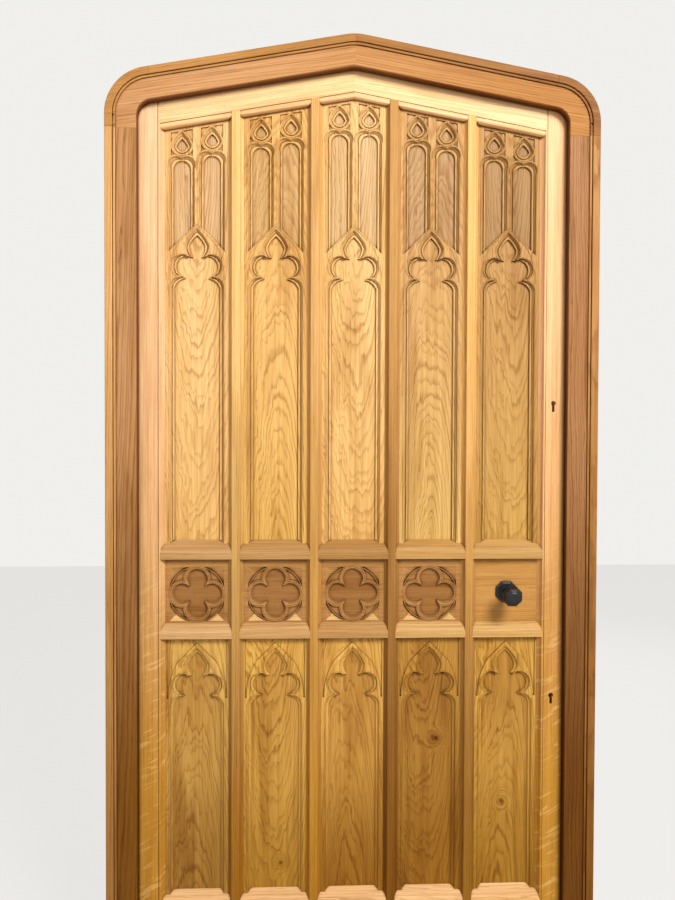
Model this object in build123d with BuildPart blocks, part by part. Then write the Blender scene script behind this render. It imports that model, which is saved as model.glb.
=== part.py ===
"""Arched oak entrance door in its frame: five bays of blind tracery between moulded muntins.

Millimetres. X runs to the right as seen from outside, Y runs through the door towards the
inside of the house, Z is up. The origin is the middle of the underside of the sill, on the
plane of the frame's outside face. The leaf is hung on the left and opens inwards.
"""
from build123d import *
from math import atan, cos, pi, sin, sqrt
import os

os.makedirs("parts", exist_ok=True)

# Frame
sight_width = 1000.0        # clear width between the frame's inner edges
apex_height = 2194.0        # sight line at the top of the arch, above the underside of the sill
arch_slope = 0.182          # fall of each straight arm of the arch, for each millimetre of width
shoulder_radius = 38.0      # where an arm of the arch turns down into a jamb
crown_radius = 60.0         # the slightly rounded point of the arch
frame_face = 70.0           # width of the frame seen from outside
frame_depth = 84.0
stop_depth = 25.0           # thickness of the part of the frame that the leaf closes against
rebate = 18.0               # how far the stop covers the edge of the leaf
head_drop = 61.0            # from the arch's shoulder down to the joint between a jamb and the head
strip_width = 24.0          # cover strip on the outer edge of the frame
strip_bead = 5.0            # bead along the strip's inner edge
strip_proud = 6.0
strip_quirk = 1.2           # groove between the bead and the flat of the strip
strip_arris = 1.0           # small bevels along the flat of the strip
quirk_proud = 0.8           # how far the floor of the groove stands off the frame
bead_proud = 3.5
corner_strip_arm = 30.0     # from the sight line to the joint of a corner strip with a head strip
sill_height = 50.0
sill_nosing = 12.0          # how far the sill stands out in front of the frame
sill_fall = 7.0             # fall of the sill's top in front of the frame
sill_edge = 4.0             # bevel on the nosing
drip_radius = 2.0           # groove under the nosing

# Leaf
leaf_gap = 3.0              # joint round the edge of the closed leaf
stop_gap = 0.5              # between the closed leaf and the stop
bay_count = 5
stile_show = 40.0           # from the sight line to the outer edge of the first bay
muntin_width = 36.0         # from panel to panel, hollows included
moulding_width = 8.0        # plan width of the hollow beside a panel
moulding_depth = 15.0       # from the face of the leaf back to the face of a panel
stile_bead = 6.0            # bead between a stile's flat and its hollow
bead_setback = 2.0          # depth of the quirk beside the bead
bead_round = 2.2            # how far the bead rises out of its quirk
hollow_sag = 1.4            # how far the hollow is dished
muntin_arris = 1.2          # bevels on the flat nib of a muntin
muntin_step = 2.5           # upright edge between the nib and the hollow
panel_thickness = 21.5
panel_groove = 9.0          # how far a panel enters its groove
panel_play = 0.3
top_rail_flat = 48.0        # flat of the top rail below the sight line
top_bead = 12.0             # bead along the lower edge of the top rail
top_bead_setback = 1.5      # how far the bead lies behind the flat
top_bead_round = 5.0
top_bead_quirk = 2.0
tenon_length = 28.0

# Cross rails
upper_rail_z = 1053.0       # lower front edge of the upper row of short rails
lower_rail_z = 866.0
bottom_rail_z = 217.5       # level that the same section starts from on the bottom rail
rail_flat = 15.0            # upright front of a rail
rail_bevel_height = 10.0
rail_bevel_depth = 4.0
rail_height = 43.0          # up to the back edge of the splayed top

# Carving, with points given as half width and height above the springing of a head
drawn_half = 74.0           # half width of a panel that these widths are drawn for
ground_depth = 9.0          # from the face of a panel back to its sunk ground
carved_step = 3.0           # upright edge round each sinking, above its hollow
foil_fullness = (0.90, 0.62)  # of a half foil's outer and inner arc; 1 starts straight upwards
low_cusp = (35.0, 24.0)
side_foil = (59.0, 48.0)
high_cusp = (18.0, 72.0)
top_foil_waist = (26.0, 83.0)
top_foil_side = (28.5, 97.0)
top_foil_flank = (18.0, 117.0)
top_foil_point = (0.0, 137.0)
hollow = 9.0                # plan width of the hollow round a sinking
field_half = 63.0           # half width of the plain field below a traceried head
upper_head_drop = 504.0     # from the point of the arch down to where the upper heads spring
lower_head_z = 703.0
light_offset = 35.0         # from the middle of a bay to the middle of one of its two lights
light_half = 29.5
light_hollow = 8.5
light_shoulder = 24.0       # from the cusp of a light down to its springing
light_haunch = (20.0, 3.0)  # middle of each shoulder's arc, from the cusp
light_gap = 9.0             # between an eye and the light below it
eye_drop = 10.0             # from the top rail's bead down to the point of an eye
eye_height = 52.0
eye_side = (22.5, 31.0)     # widest points of an eye, from its point down
eye_top_flank = (13.5, 13.0)
eye_low_flank = (15.0, 46.0)
hood_height = 149.0         # point of the hood above the springing
hood_haunch = (44.0, 105.0)  # where the slope of the hood starts to turn down
hood_flank = (60.5, 68.0)
hood_foot = (67.0, 18.0)
spandrel_half = 71.0        # half width of the sunk spandrels beside a lower hood
spandrel_top = 158.0        # upper edge of the spandrels above the springing
spandrel_sink = 3.0
quatrefoil_z = 969.0
ring_radius = 63.5
ring_sink = 4.0
lobe_offset = 34.5
lobe_radius = 28.5
lobe_hollow = 7.0
lobe_rim = 4.0              # raised band round the lobes
hood_arris = 3.0            # narrow edge where the lights meet the hood
ring_rim = 1.5              # narrow edge left round the ring
corner_depth = 5.0          # of the four corner pockets outside the ring, where they meet its rim
tracery_bar = 4.5           # face left round an eye and over a light, between the pockets there
pocket_half = 25.5          # half width of the pockets round an eye
pocket_drop = 7.0           # from the top rail's bead down to those pockets
pocket_sink = 3.0

# Hinges
lowest_hinge = 210.0        # from the top of the sill up to the middle of the lowest hinge
highest_hinge = 182.0       # from the head's joint down to the middle of the highest hinge
hinge_height = 100.0
hinge_width = 34.0          # of one plate, on the wood
plate_thickness = 2.3
plate_play = 0.4            # between the two plates of a closed hinge
knuckle_radius = 6.5
knuckle_lift = 7.0          # of the pin's axis off the inside face
knuckle_count = 3
knuckle_play = 0.4
pin_radius = 3.0
pin_play = 0.05             # round the pin in the leaf's knuckles
pin_head_radius = 5.0
pin_head_height = 4.0

# Knob and latch
knob_z = 972.0
rose_radius = 25.0
rose_thickness = 6.0
rose_bevel = 4.0
knob_reach_outside = 76.0   # from the face that carries the rose to the end of the knob
knob_reach_inside = 60.0
knob_radius = 23.0
knob_shoulder = 19.0        # radius where the facets round the flat begin
knob_facet = 10.0           # radius of the flat in the middle of the knob
knob_length = 34.0          # of the faceted part
knob_widest = 18.0          # from the end of the knob back to its widest ring
knob_bevel = 7.0            # from the end of the knob back to its shoulder
neck_radius = 8.5
neck_gap = 0.5              # between the knob's neck and the wood
spindle_size = 8.0
follower_radius = 8.5
latch_case_height = 26.0
latch_case_thickness = 15.0
latch_case_reach = 16.0     # behind the spindle
latch_bolt_height = 16.0
latch_bolt_thickness = 10.0
latch_tail_height = 6.0
latch_head = 24.0           # length of the bolt's head inside the edge of the leaf
latch_nose = 3.0            # straight part of the head outside the edge
latch_tip = 2.0             # thickness of the tip
latch_forend = 60.0         # height of the latch's plate on the edge of the leaf
latch_throw = 12.0
slide_play = 0.3            # round a bolt in its case, and round the spindle

# Deadlocks
keyhole_levels = (1422.0, 725.5)
deadlock_backset = 41.0
deadlock_depth = 60.0
deadlock_height = 76.0
deadlock_rise = 12.0        # middle of the case above the keyhole
deadlock_thickness = 15.0
deadbolt_height = 20.0
deadbolt_rise = 30.0        # middle of the bolt above the keyhole
deadbolt_thickness = 10.0
deadbolt_throw = 20.0
deadbolt_length = 36.0
forend_height = 100.0
forend_width = 22.0
forend_thickness = 2.5
bolt_chamfer = 0.8
keyhole_radius = 5.9
keyhole_slot = 6.0
keyhole_length = 20.0       # from the middle of the round part to the foot of the slot
keep_plate = 2.0
pocket_play = 1.5

# Planes and lines that follow from the sizes above
half_sight = sight_width / 2
jamb_height = apex_height - arch_slope * half_sight - head_drop
corner_strip_end = half_sight - corner_strip_arm
bay_pitch = (sight_width - 2 * stile_show) / bay_count
panel_sight = bay_pitch - muntin_width
leaf_front = stop_depth + stop_gap
leaf_back = frame_depth
leaf_half = half_sight + rebate - leaf_gap
leaf_low = sill_height + leaf_gap
panel_front = leaf_front + moulding_depth
panel_back = panel_front + panel_thickness
ground = panel_front + ground_depth
leaf_middle = (leaf_front + leaf_back) / 2
panel_half = panel_sight / 2
tongue_half = panel_half + panel_groove - panel_play
nib_half = muntin_width / 2 - moulding_width
arch_cos = cos(atan(arch_slope))
bay_middles = [(i - (bay_count - 1) / 2) * bay_pitch for i in range(bay_count)]
muntin_middles = [x + bay_pitch / 2 for x in bay_middles[:-1]]
stile_sight = bay_middles[-1] + panel_half          # inner edge of a stile behind its moulding
stile_flat = stile_sight + moulding_width + stile_bead
upper_head_z = apex_height - upper_head_drop
hinge_low = sill_height + lowest_hinge
hinge_high = jamb_height - highest_hinge
hinge_levels = (hinge_low, (hinge_low + hinge_high) / 2, hinge_high)
wide = sight_width
below = -wide                                        # below everything, for outlines cut off later
above = apex_height + wide

# The carving is drawn for one width of panel, and all of it grows and shrinks with the panel
carving_share = panel_half / drawn_half


def fitted(*sizes):
    """Sizes of the carving at the panels' width."""
    return [size * carving_share for size in sizes]


hollow, field_half, light_hollow, lobe_hollow = fitted(hollow, field_half, light_hollow, lobe_hollow)
light_offset, light_half, light_shoulder = fitted(light_offset, light_half, light_shoulder)
light_gap, eye_drop, eye_height = fitted(light_gap, eye_drop, eye_height)
hood_height, hood_arris, ring_rim = fitted(hood_height, hood_arris, ring_rim)
tracery_bar, pocket_half, pocket_drop = fitted(tracery_bar, pocket_half, pocket_drop)
spandrel_half, spandrel_top, ring_radius = fitted(spandrel_half, spandrel_top, ring_radius)
lobe_offset, lobe_radius, lobe_rim = fitted(lobe_offset, lobe_radius, lobe_rim)


def from_front(y):
    """Plane seen from outside, at depth y; a negative extrusion goes into the door."""
    return Plane(origin=(0, y, 0), x_dir=(1, 0, 0), z_dir=(0, -1, 0))


def save(piece, name):
    """Label a finished piece and write it to its own file."""
    piece.part.label = name
    export_step(piece.part, f"parts/{name}.step")


def keep_largest(piece):
    """Drop the slivers that scribing leaves in a quirk."""
    with piece:
        add(piece.solids().sort_by(SortBy.VOLUME)[-1], mode=Mode.REPLACE)


def sight_line_z(x, drop=0.0):
    """Height of the straight arm of the arch at x, lowered by a distance square to the arm."""
    return apex_height - arch_slope * abs(x) - drop / arch_cos


def arch_area(grow, low=below):
    """Area inside the sight line of the arch, grown on all sides and cut off level below."""
    shoulder_z = sight_line_z(half_sight)
    with BuildSketch() as area:
        with BuildLine():
            Polyline((-half_sight, below), (-half_sight, shoulder_z), (0, apex_height),
                     (half_sight, shoulder_z), (half_sight, below), close=True)
        make_face()
        corners = area.vertices().sort_by(Axis.Y)
        fillet(corners[-1], crown_radius)
        shoulders = area.vertices().filter_by(lambda v: abs(abs(v.X) - half_sight) < 1e-6 and v.Y > 0)
        fillet(shoulders, shoulder_radius)
        if grow:
            offset(amount=grow)
        with Locations((0, low)):
            Rectangle(4 * wide, above - low, align=(Align.CENTER, Align.MIN), mode=Mode.INTERSECT)
    return area.sketch


def gable_area(drop, half_width, low):
    """Area under the two straight arms lowered by drop, between two uprights."""
    with BuildSketch() as area:
        with BuildLine():
            Polyline((-half_width, low), (-half_width, sight_line_z(half_width, drop)),
                     (0, sight_line_z(0, drop)), (half_width, sight_line_z(half_width, drop)),
                     (half_width, low), close=True)
        make_face()
    return area.sketch


def block(x0, x1, y0, y1, z0, z1):
    """Plain box between two corners, for trimming."""
    return Solid.make_box(x1 - x0, y1 - y0, z1 - z0, Plane(origin=(x0, y0, z0)))


# The frame: one rebated section run round the arch, sawn into two jambs and a head
with BuildPart() as frame_ring:
    with BuildSketch(from_front(0)):
        add(arch_area(frame_face, sill_height))
        add(arch_area(0), mode=Mode.SUBTRACT)
    extrude(amount=-stop_depth)
    with BuildSketch(from_front(stop_depth)):
        add(arch_area(frame_face, sill_height))
        add(arch_area(rebate), mode=Mode.SUBTRACT)
    extrude(amount=-(frame_depth - stop_depth))

hinge_axis_x = -(half_sight + rebate) + leaf_gap / 2
hinge_axis_y = frame_depth + knuckle_lift
plate_shift = plate_play / 2
plate_far_y = frame_depth - hinge_width
rebate_wall = half_sight + rebate


def hinge_plate_box(side, z):
    """Flat of one hinge plate: side -1 is let into the frame, side 1 into the leaf."""
    inner = hinge_axis_x + side * plate_shift
    outer = inner + side * plate_thickness
    return block(min(inner, outer), max(inner, outer), plate_far_y, hinge_axis_y,
                 z - hinge_height / 2, z + hinge_height / 2)


bolt_y = leaf_middle
deadlock_middles = [z + deadlock_rise for z in keyhole_levels]
deadbolt_levels = [z + deadbolt_rise for z in keyhole_levels]


def edge_box(x, length, thickness, height, levels, side=Align.MIN):
    """Equal boxes at several levels in the middle of the leaf's edge, running in from or out from x."""
    with BuildPart() as boxes:
        with Locations(*[(x, bolt_y, z) for z in levels]):
            Box(length, thickness, height, align=(side, Align.CENTER, Align.CENTER))
    return boxes.part


bolt_pockets = [
    edge_box(rebate_wall, latch_throw + pocket_play, latch_bolt_thickness + 2 * pocket_play,
             latch_bolt_height + 2 * pocket_play, [knob_z]),
    edge_box(rebate_wall, deadbolt_throw + pocket_play, deadbolt_thickness + 2 * pocket_play,
             deadbolt_height + 2 * pocket_play, deadbolt_levels),
]
keep_blanks = [
    edge_box(rebate_wall, keep_plate, forend_width, latch_forend, [knob_z]),
    edge_box(rebate_wall, keep_plate, forend_width, forend_height, deadlock_middles),
]

with BuildPart() as jamb_left:
    add(frame_ring.part)
    add(block(-wide, 0, -1, frame_depth + 1, 0, jamb_height), mode=Mode.INTERSECT)
    for z in hinge_levels:
        add(hinge_plate_box(-1, z), mode=Mode.SUBTRACT)
save(jamb_left, "jamb_left")

with BuildPart() as jamb_right:
    add(frame_ring.part)
    add(block(0, wide, -1, frame_depth + 1, 0, jamb_height), mode=Mode.INTERSECT)
    add(bolt_pockets + keep_blanks, mode=Mode.SUBTRACT)
save(jamb_right, "jamb_right")

with BuildPart() as head:
    add(frame_ring.part)
    add(block(-wide, wide, -1, frame_depth + 1, jamb_height, above), mode=Mode.INTERSECT)
save(head, "head")

with BuildPart() as keeps:
    add(keep_blanks)
    add(bolt_pockets, mode=Mode.SUBTRACT)
save(keeps, "keeps")

# The sill: weathered top in front of the frame, drip groove under the nosing
with BuildPart() as sill:
    with BuildSketch(Plane.YZ):
        with BuildLine():
            Polyline((-sill_nosing, 0), (-sill_nosing, sill_height - sill_fall - sill_edge),
                     (-sill_nosing + sill_edge, sill_height - sill_fall), (0, sill_height),
                     (frame_depth, sill_height), (frame_depth, 0), close=True)
        make_face()
        with Locations((-sill_nosing / 2, 0)):
            Circle(drip_radius, mode=Mode.SUBTRACT)
    extrude(amount=half_sight + frame_face, both=True)
save(sill, "sill")

# Cover strip: a bead, a quirk and a flat, planted on the outer edge and cut into six lengths.
# Its two feet are scribed to the fall of the sill.
strip_inner = frame_face - strip_width
strip_low = sill_height - sill_fall
with BuildPart() as strip_ring:
    with BuildSketch(from_front(0)):
        add(arch_area(frame_face, strip_low))
        add(arch_area(strip_inner + strip_bead + strip_quirk), mode=Mode.SUBTRACT)
    extrude(amount=strip_proud)
    flat_rims = faces().filter_by(Plane.XZ).sort_by(Axis.Y)[0].edges()
    chamfer(flat_rims.filter_by(lambda e: e.bounding_box().max.Z > jamb_height), strip_arris)
    with BuildSketch(from_front(0)):
        add(arch_area(frame_face - strip_arris, strip_low))
        add(arch_area(strip_inner), mode=Mode.SUBTRACT)
    extrude(amount=quirk_proud)
    with BuildSketch(from_front(0)):
        add(arch_area(strip_inner + strip_bead, strip_low))
        add(arch_area(strip_inner), mode=Mode.SUBTRACT)
    extrude(amount=bead_proud)
    add(sill.part, mode=Mode.SUBTRACT)

cuts = {
    "strip_jamb_left": (-wide, 0, 0, jamb_height),
    "strip_jamb_right": (0, wide, 0, jamb_height),
    "strip_corner_left": (-wide, -corner_strip_end, jamb_height, above),
    "strip_corner_right": (corner_strip_end, wide, jamb_height, above),
    "strip_head_left": (-corner_strip_end, 0, jamb_height, above),
    "strip_head_right": (0, corner_strip_end, jamb_height, above),
}
for name, (x0, x1, z0, z1) in cuts.items():
    with BuildPart() as strip:
        add(strip_ring.part)
        add(block(x0, x1, -2 * strip_proud, 1, z0, z1), mode=Mode.INTERSECT)
    save(strip, name)

# The leaf's stiles and muntins
leaf_area = arch_area(rebate - leaf_gap, leaf_low)


def hollow_between(start, end):
    """Shallow hollow from the front of a member back to the face of the panel beside it."""
    (x0, y0), (x1, y1) = start, end
    length = sqrt((x1 - x0) ** 2 + (y1 - y0) ** 2)
    side = 1 if x1 > x0 else -1
    middle = ((x0 + x1) / 2 - side * hollow_sag * (y1 - y0) / length,
              (y0 + y1) / 2 + hollow_sag * abs(x1 - x0) / length)
    return ThreePointArc(start, middle, end)


with BuildPart() as stile_bar:
    with BuildSketch(Plane.XY.offset(leaf_low)):
        with BuildLine():
            bead_start = (-stile_flat, leaf_front + bead_setback)
            bead_end = (-stile_flat + stile_bead, leaf_front + bead_setback)
            bead_top = (-stile_flat + stile_bead / 2, leaf_front + bead_setback - bead_round)
            Polyline((-stile_sight - panel_groove, panel_front), (-stile_sight - panel_groove, panel_back),
                     (-stile_sight, panel_back), (-stile_sight, leaf_back), (-leaf_half, leaf_back),
                     (-leaf_half, leaf_front), (-stile_flat, leaf_front), bead_start)
            ThreePointArc(bead_start, bead_top, bead_end)
            hollow_between(bead_end, (-stile_sight, panel_front))
            Line((-stile_sight, panel_front), (-stile_sight - panel_groove, panel_front))
        make_face()
    extrude(amount=apex_height - leaf_low)

with BuildPart() as leaf_blank:
    with BuildSketch(from_front(leaf_front - 1)):
        add(leaf_area)
    extrude(amount=-(leaf_back - leaf_front + 2))

knob_x = bay_middles[-1]
case_edge = leaf_half - forend_thickness
latch_envelope = [
    edge_box(case_edge, case_edge - knob_x + latch_case_reach, latch_case_thickness, latch_case_height,
             [knob_z], Align.MAX),
    edge_box(case_edge, forend_thickness, forend_width, latch_forend, [knob_z]),
]
deadlock_envelope = [
    edge_box(case_edge, deadlock_depth, deadlock_thickness, deadlock_height, deadlock_middles, Align.MAX),
    edge_box(case_edge, forend_thickness, forend_width, forend_height, deadlock_middles),
]


def keyhole_sketch():
    """Round-topped keyholes, seen from outside."""
    with BuildSketch(from_front(leaf_front - 1)) as holes:
        with Locations(*[(leaf_half - deadlock_backset, z) for z in keyhole_levels]):
            Circle(keyhole_radius)
            Rectangle(keyhole_slot, keyhole_length, align=(Align.CENTER, Align.MAX))
    return holes.sketch


with BuildPart() as stile_left:
    add(stile_bar.part)
    add(leaf_blank.part, mode=Mode.INTERSECT)
    for z in hinge_levels:
        add(hinge_plate_box(1, z), mode=Mode.SUBTRACT)
save(stile_left, "stile_left")

with BuildPart() as stile_right:
    add(mirror(stile_bar.part, Plane.YZ, mode=Mode.PRIVATE))
    add(leaf_blank.part, mode=Mode.INTERSECT)
    add(deadlock_envelope, mode=Mode.SUBTRACT)
    add(latch_envelope, mode=Mode.SUBTRACT)
    extrude(keyhole_sketch(), amount=-(leaf_back - leaf_front + 2), mode=Mode.SUBTRACT)
save(stile_right, "stile_right")


muntin_low = bottom_rail_z + rail_flat
rail_groove_floor = rail_height - panel_groove
top_tongue = top_rail_flat + top_bead - panel_groove + panel_play


def muntin_section(x):
    """Flat nib between two hollows, with a panel groove on each side."""
    sight = nib_half + moulding_width
    web = sight - panel_groove
    with BuildSketch(Plane.XY.offset(muntin_low)) as section:
        with BuildLine():
            for side in (-1, 1):
                nib_corner = (x + side * nib_half, leaf_front + muntin_arris)
                hollow_start = (x + side * nib_half, leaf_front + muntin_arris + muntin_step)
                hollow_end = (x + side * sight, panel_front)
                Polyline((x, leaf_front), (x + side * (nib_half - muntin_arris), leaf_front), nib_corner,
                         hollow_start)
                hollow_between(hollow_start, hollow_end)
                Polyline(hollow_end, (x + side * web, panel_front), (x + side * web, panel_back),
                         (x + side * sight, panel_back), (x + side * sight, leaf_back), (x, leaf_back))
        make_face()
    return section.sketch


# A muntin's nib laps the bead of the top rail, and its tenon goes on into the rail's edge
with BuildPart() as muntin_reach:
    with BuildSketch(from_front(leaf_front - 1)):
        add(gable_area(top_rail_flat, wide, below))
    extrude(amount=-(moulding_depth + 1))
    with BuildSketch(from_front(panel_front)):
        add(gable_area(top_rail_flat + top_bead - tenon_length, wide, below))
    extrude(amount=-panel_thickness)
    with BuildSketch(from_front(panel_back)):
        add(gable_area(top_rail_flat + top_bead, wide, below))
    extrude(amount=-(leaf_back - panel_back + 1))

muntins = []
for number, x in enumerate(muntin_middles, 1):
    with BuildPart() as muntin:
        extrude(muntin_section(x), amount=apex_height - muntin_low)
        add(muntin_reach.part, mode=Mode.INTERSECT)
    save(muntin, f"muntin_{number}")
    muntins.append(muntin.part)

uprights = [stile_left.part, *muntins, stile_right.part]

# Top rail: a flat that follows the arch, a bead under it and a groove for the panels' heads
with BuildPart() as top_rail:
    with BuildSketch(from_front(leaf_front)):
        add(leaf_area)
        add(gable_area(top_rail_flat, wide, below), mode=Mode.SUBTRACT)
    extrude(amount=-moulding_depth)
    with BuildSketch(from_front(panel_front)):
        add(leaf_area)
        add(gable_area(top_rail_flat + top_bead - panel_groove, wide, below), mode=Mode.SUBTRACT)
    extrude(amount=-panel_thickness)
    with BuildSketch(from_front(panel_back)):
        add(leaf_area)
        add(gable_area(top_rail_flat + top_bead, wide, below), mode=Mode.SUBTRACT)
    extrude(amount=-(leaf_back - panel_back))
    with BuildPart(mode=Mode.PRIVATE) as bead_bar:
        bead_face = leaf_front + top_bead_setback
        with BuildSketch(from_front(bead_face)):
            add(gable_area(top_rail_flat - 1, wide, below + wide))
            add(gable_area(top_rail_flat + top_bead, 2 * wide, below), mode=Mode.SUBTRACT)
        extrude(amount=-(panel_front - bead_face))
        rims = bead_bar.faces().sort_by(Axis.Y)[0].edges().filter_by(
            lambda e: e.length > half_sight / 2).sort_by(lambda e: e.center().Z)
        fillet(rims[:2], top_bead_round)
        chamfer(rims[2:], top_bead_quirk)
    add(bead_bar.part)
    add(block(-stile_sight - tenon_length, stile_sight + tenon_length, 0, frame_depth + 1, 0, above),
        mode=Mode.INTERSECT)
    for upright in uprights:
        add(upright, mode=Mode.SUBTRACT)
keep_largest(top_rail)
save(top_rail, "top_rail")


def rail_section(top_groove=True, low=0.0):
    """Cross rail seen from its end: upright front, bevel, splayed top running back to the ground."""
    with BuildSketch(Plane.YZ) as section:
        with BuildLine():
            Polyline((leaf_front, low), (leaf_front, rail_flat),
                     (leaf_front + rail_bevel_depth, rail_flat + rail_bevel_height),
                     (ground, rail_height), (ground, rail_groove_floor), (panel_back, rail_groove_floor),
                     (panel_back, rail_height), (leaf_back, rail_height), (leaf_back, low), close=True)
        make_face()
        if top_groove:
            with Locations((panel_front, low)):
                Rectangle(panel_thickness, panel_groove, align=Align.MIN, mode=Mode.SUBTRACT)
    return section.sketch


# Short cross rails, scribed between the uprights
rail_half = panel_half + moulding_width + stile_bead + 1
rails = {"upper": [], "lower": []}
for row, level in (("upper", upper_rail_z), ("lower", lower_rail_z)):
    with BuildPart() as long_rail:
        extrude(rail_section(), amount=stile_flat, both=True)
        for upright in uprights:
            add(upright.moved(Location((0, 0, -level))), mode=Mode.SUBTRACT)
    for number, x in enumerate(bay_middles, 1):
        with BuildPart() as rail:
            add(long_rail.part)
            add(block(x - rail_half, x + rail_half, 0, leaf_back, -1, rail_height + 1), mode=Mode.INTERSECT)
            pieces = rail.solids().sort_by(lambda s: abs(s.center().X - x))
        with BuildPart() as placed:
            add(pieces[0].moved(Location((0, 0, level))))
        save(placed, f"{row}_rail_{number}")
        rails[row].append(placed.part)

with BuildPart() as bottom_rail:
    extrude(rail_section(False, leaf_low - bottom_rail_z).moved(Location((0, 0, bottom_rail_z))),
            amount=stile_sight + tenon_length, both=True)
    for upright in uprights:
        add(upright, mode=Mode.SUBTRACT)
keep_largest(bottom_rail)
save(bottom_rail, "bottom_rail")


def foil_middle(start, end, fullness):
    """Middle point of an arc from start to end; fullness 1 makes it leave start straight upwards."""
    run, rise = end[0] - start[0], end[1] - start[1]
    chord = sqrt(run ** 2 + rise ** 2)
    upright_bulge = chord / 2 * (chord - rise) / abs(run)
    bulge = fullness * upright_bulge
    middle_x, middle_z = (start[0] + end[0]) / 2, (start[1] + end[1]) / 2
    side = 1 if run < 0 else -1
    return (middle_x + side * bulge * rise / chord, middle_z + bulge * abs(run) / chord)


# Outlines of the sinkings. Each has an outer edge on the face of the panel, with inset 0, and an
# inner edge on the ground, with inset 1; the hollow between the two is a ruled surface.
def foil_half(side, base, inset):
    """Half of a traceried head above its springing: half foil, side foil, pointed top foil.

    Each point of the inner edge is shifted by about the hollow's width, square to the outer edge there.
    """
    def place(point, dx=0.0, dz=0.0):
        wide_of, rise = fitted(point[0] - inset * dx, point[1] - inset * dz)
        return (side * wide_of, base + rise)

    foot = (side * (field_half - inset * hollow), base)
    outer_cusp = place(low_cusp, 8, 2)
    inner_cusp = place(high_cusp, 8, 1)
    shoulder = place(top_foil_side, 9)
    ThreePointArc(foot, foil_middle(foot, outer_cusp, foil_fullness[inset]), outer_cusp)
    ThreePointArc(outer_cusp, place(side_foil, 9), inner_cusp)
    ThreePointArc(inner_cusp, place(top_foil_waist, 8.5), shoulder)
    ThreePointArc(shoulder, place(top_foil_flank, 6.5, 5.5), place(top_foil_point, 0, 13.5))
    return foot


def head_area(x, base, low, inset):
    """Opening of a panel below its traceried head, down past the sill of the panel."""
    with BuildSketch() as area:
        with BuildLine():
            feet = [foil_half(side, base, inset) for side in (-1, 1)]
            Polyline(feet[0], (feet[0][0], low), (feet[1][0], low), feet[1])
        make_face()
    return area.sketch.moved(Location((x, 0, 0)))


def eye_area(x, top, inset):
    """Drop-shaped eye above a light, point upwards."""
    with BuildSketch() as area:
        with BuildLine():
            for side in (-1, 1):
                flank, upper, lower = [
                    (x + side * wide_of, top - drop) for wide_of, drop in (
                        fitted(eye_side[0] - inset * 8.5, eye_side[1]),
                        fitted(eye_top_flank[0] - inset * 6.5, eye_top_flank[1] + inset * 6.5),
                        fitted(eye_low_flank[0] - inset * 6.5, eye_low_flank[1] - inset * 6))]
                point = (x, top - inset * 13 * carving_share)
                foot = (x, top - eye_height + inset * light_hollow)
                ThreePointArc(point, upper, flank)
                ThreePointArc(flank, lower, foot)
        make_face()
    return area.sketch


def light_area(x, lean, top, foot_point, inset):
    """Tall light: two shoulders meeting in a cusp above, a slope along the hood below."""
    middle = x + lean * light_offset
    half = light_half - inset * light_hollow
    foot_line = foot_point + inset * hood_arris * sqrt(2)
    near = light_offset - half
    far = light_offset + half
    springing = top - light_shoulder
    with BuildSketch() as area:
        with BuildLine():
            for side in (-1, 1):
                wide_of, rise = fitted(light_haunch[0] - inset * 5.5, light_haunch[1] - inset * 8)
                haunch = (middle + side * wide_of, top + rise)
                ThreePointArc((middle + side * half, springing), haunch, (middle, top - inset * hollow))
            Polyline((x + lean * near, springing), (x + lean * near, foot_line - near),
                     (x + lean * far, foot_line - far), (x + lean * far, springing))
        make_face()
    return area.sketch


def tracery_pockets(x, lean, eye_top, light_top, foot_point):
    """Pockets in the four corners round an eye, down to the shoulders of the light below it."""
    middle = x + lean * light_offset
    near, far = middle - pocket_half, middle + pocket_half
    low = light_top - light_shoulder
    high = [sight_line_z(edge, top_rail_flat + top_bead) - pocket_drop for edge in (near, far)]
    bars = [offset(outline, amount=tracery_bar, mode=Mode.PRIVATE)
            for outline in (eye_area(middle, eye_top, 0), light_area(x, lean, light_top, foot_point, 0))]
    with BuildSketch() as area:
        with BuildLine():
            Polyline((near, low), (near, high[0]), (far, high[1]), (far, low), close=True)
        make_face()
        for bar in bars:
            add(bar, mode=Mode.SUBTRACT)
    return area.sketch


def lobes_area(x, radius):
    """Four round lobes about a middle."""
    with BuildSketch() as area:
        with Locations((x, quatrefoil_z)):
            SlotCenterToCenter(2 * lobe_offset, 2 * radius)
            SlotCenterToCenter(2 * lobe_offset, 2 * radius, rotation=90)
    return area.sketch


def spandrel_area(x, base):
    """Two spandrels between the outer line of a hood and the square corners of a panel."""
    with BuildSketch() as area:
        for side in (-1, 1):
            hood = [(x + side * wide_of, base + rise)
                    for wide_of, rise in (fitted(*hood_haunch), fitted(*hood_flank), fitted(*hood_foot))]
            outer = x + side * spandrel_half
            with BuildLine():
                Line((x, base + hood_height), hood[0])
                ThreePointArc(*hood)
                Polyline(hood[-1], (outer, hood[-1][1]), (outer, base + spandrel_top),
                         (x, base + spandrel_top), (x, base + hood_height))
            make_face()
    return area.sketch


def sinking(outer, inner):
    """Upright edge below the outer outline, then a hollow to the inner outline on the ground."""
    with BuildPart() as void:
        with BuildSketch(from_front(panel_front)):
            add(outer)
        extrude(amount=-carved_step)
        with BuildSketch(from_front(panel_front + carved_step)):
            add(outer)
        with BuildSketch(from_front(ground)):
            add(inner)
        loft(ruled=True)
    return void.part


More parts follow.
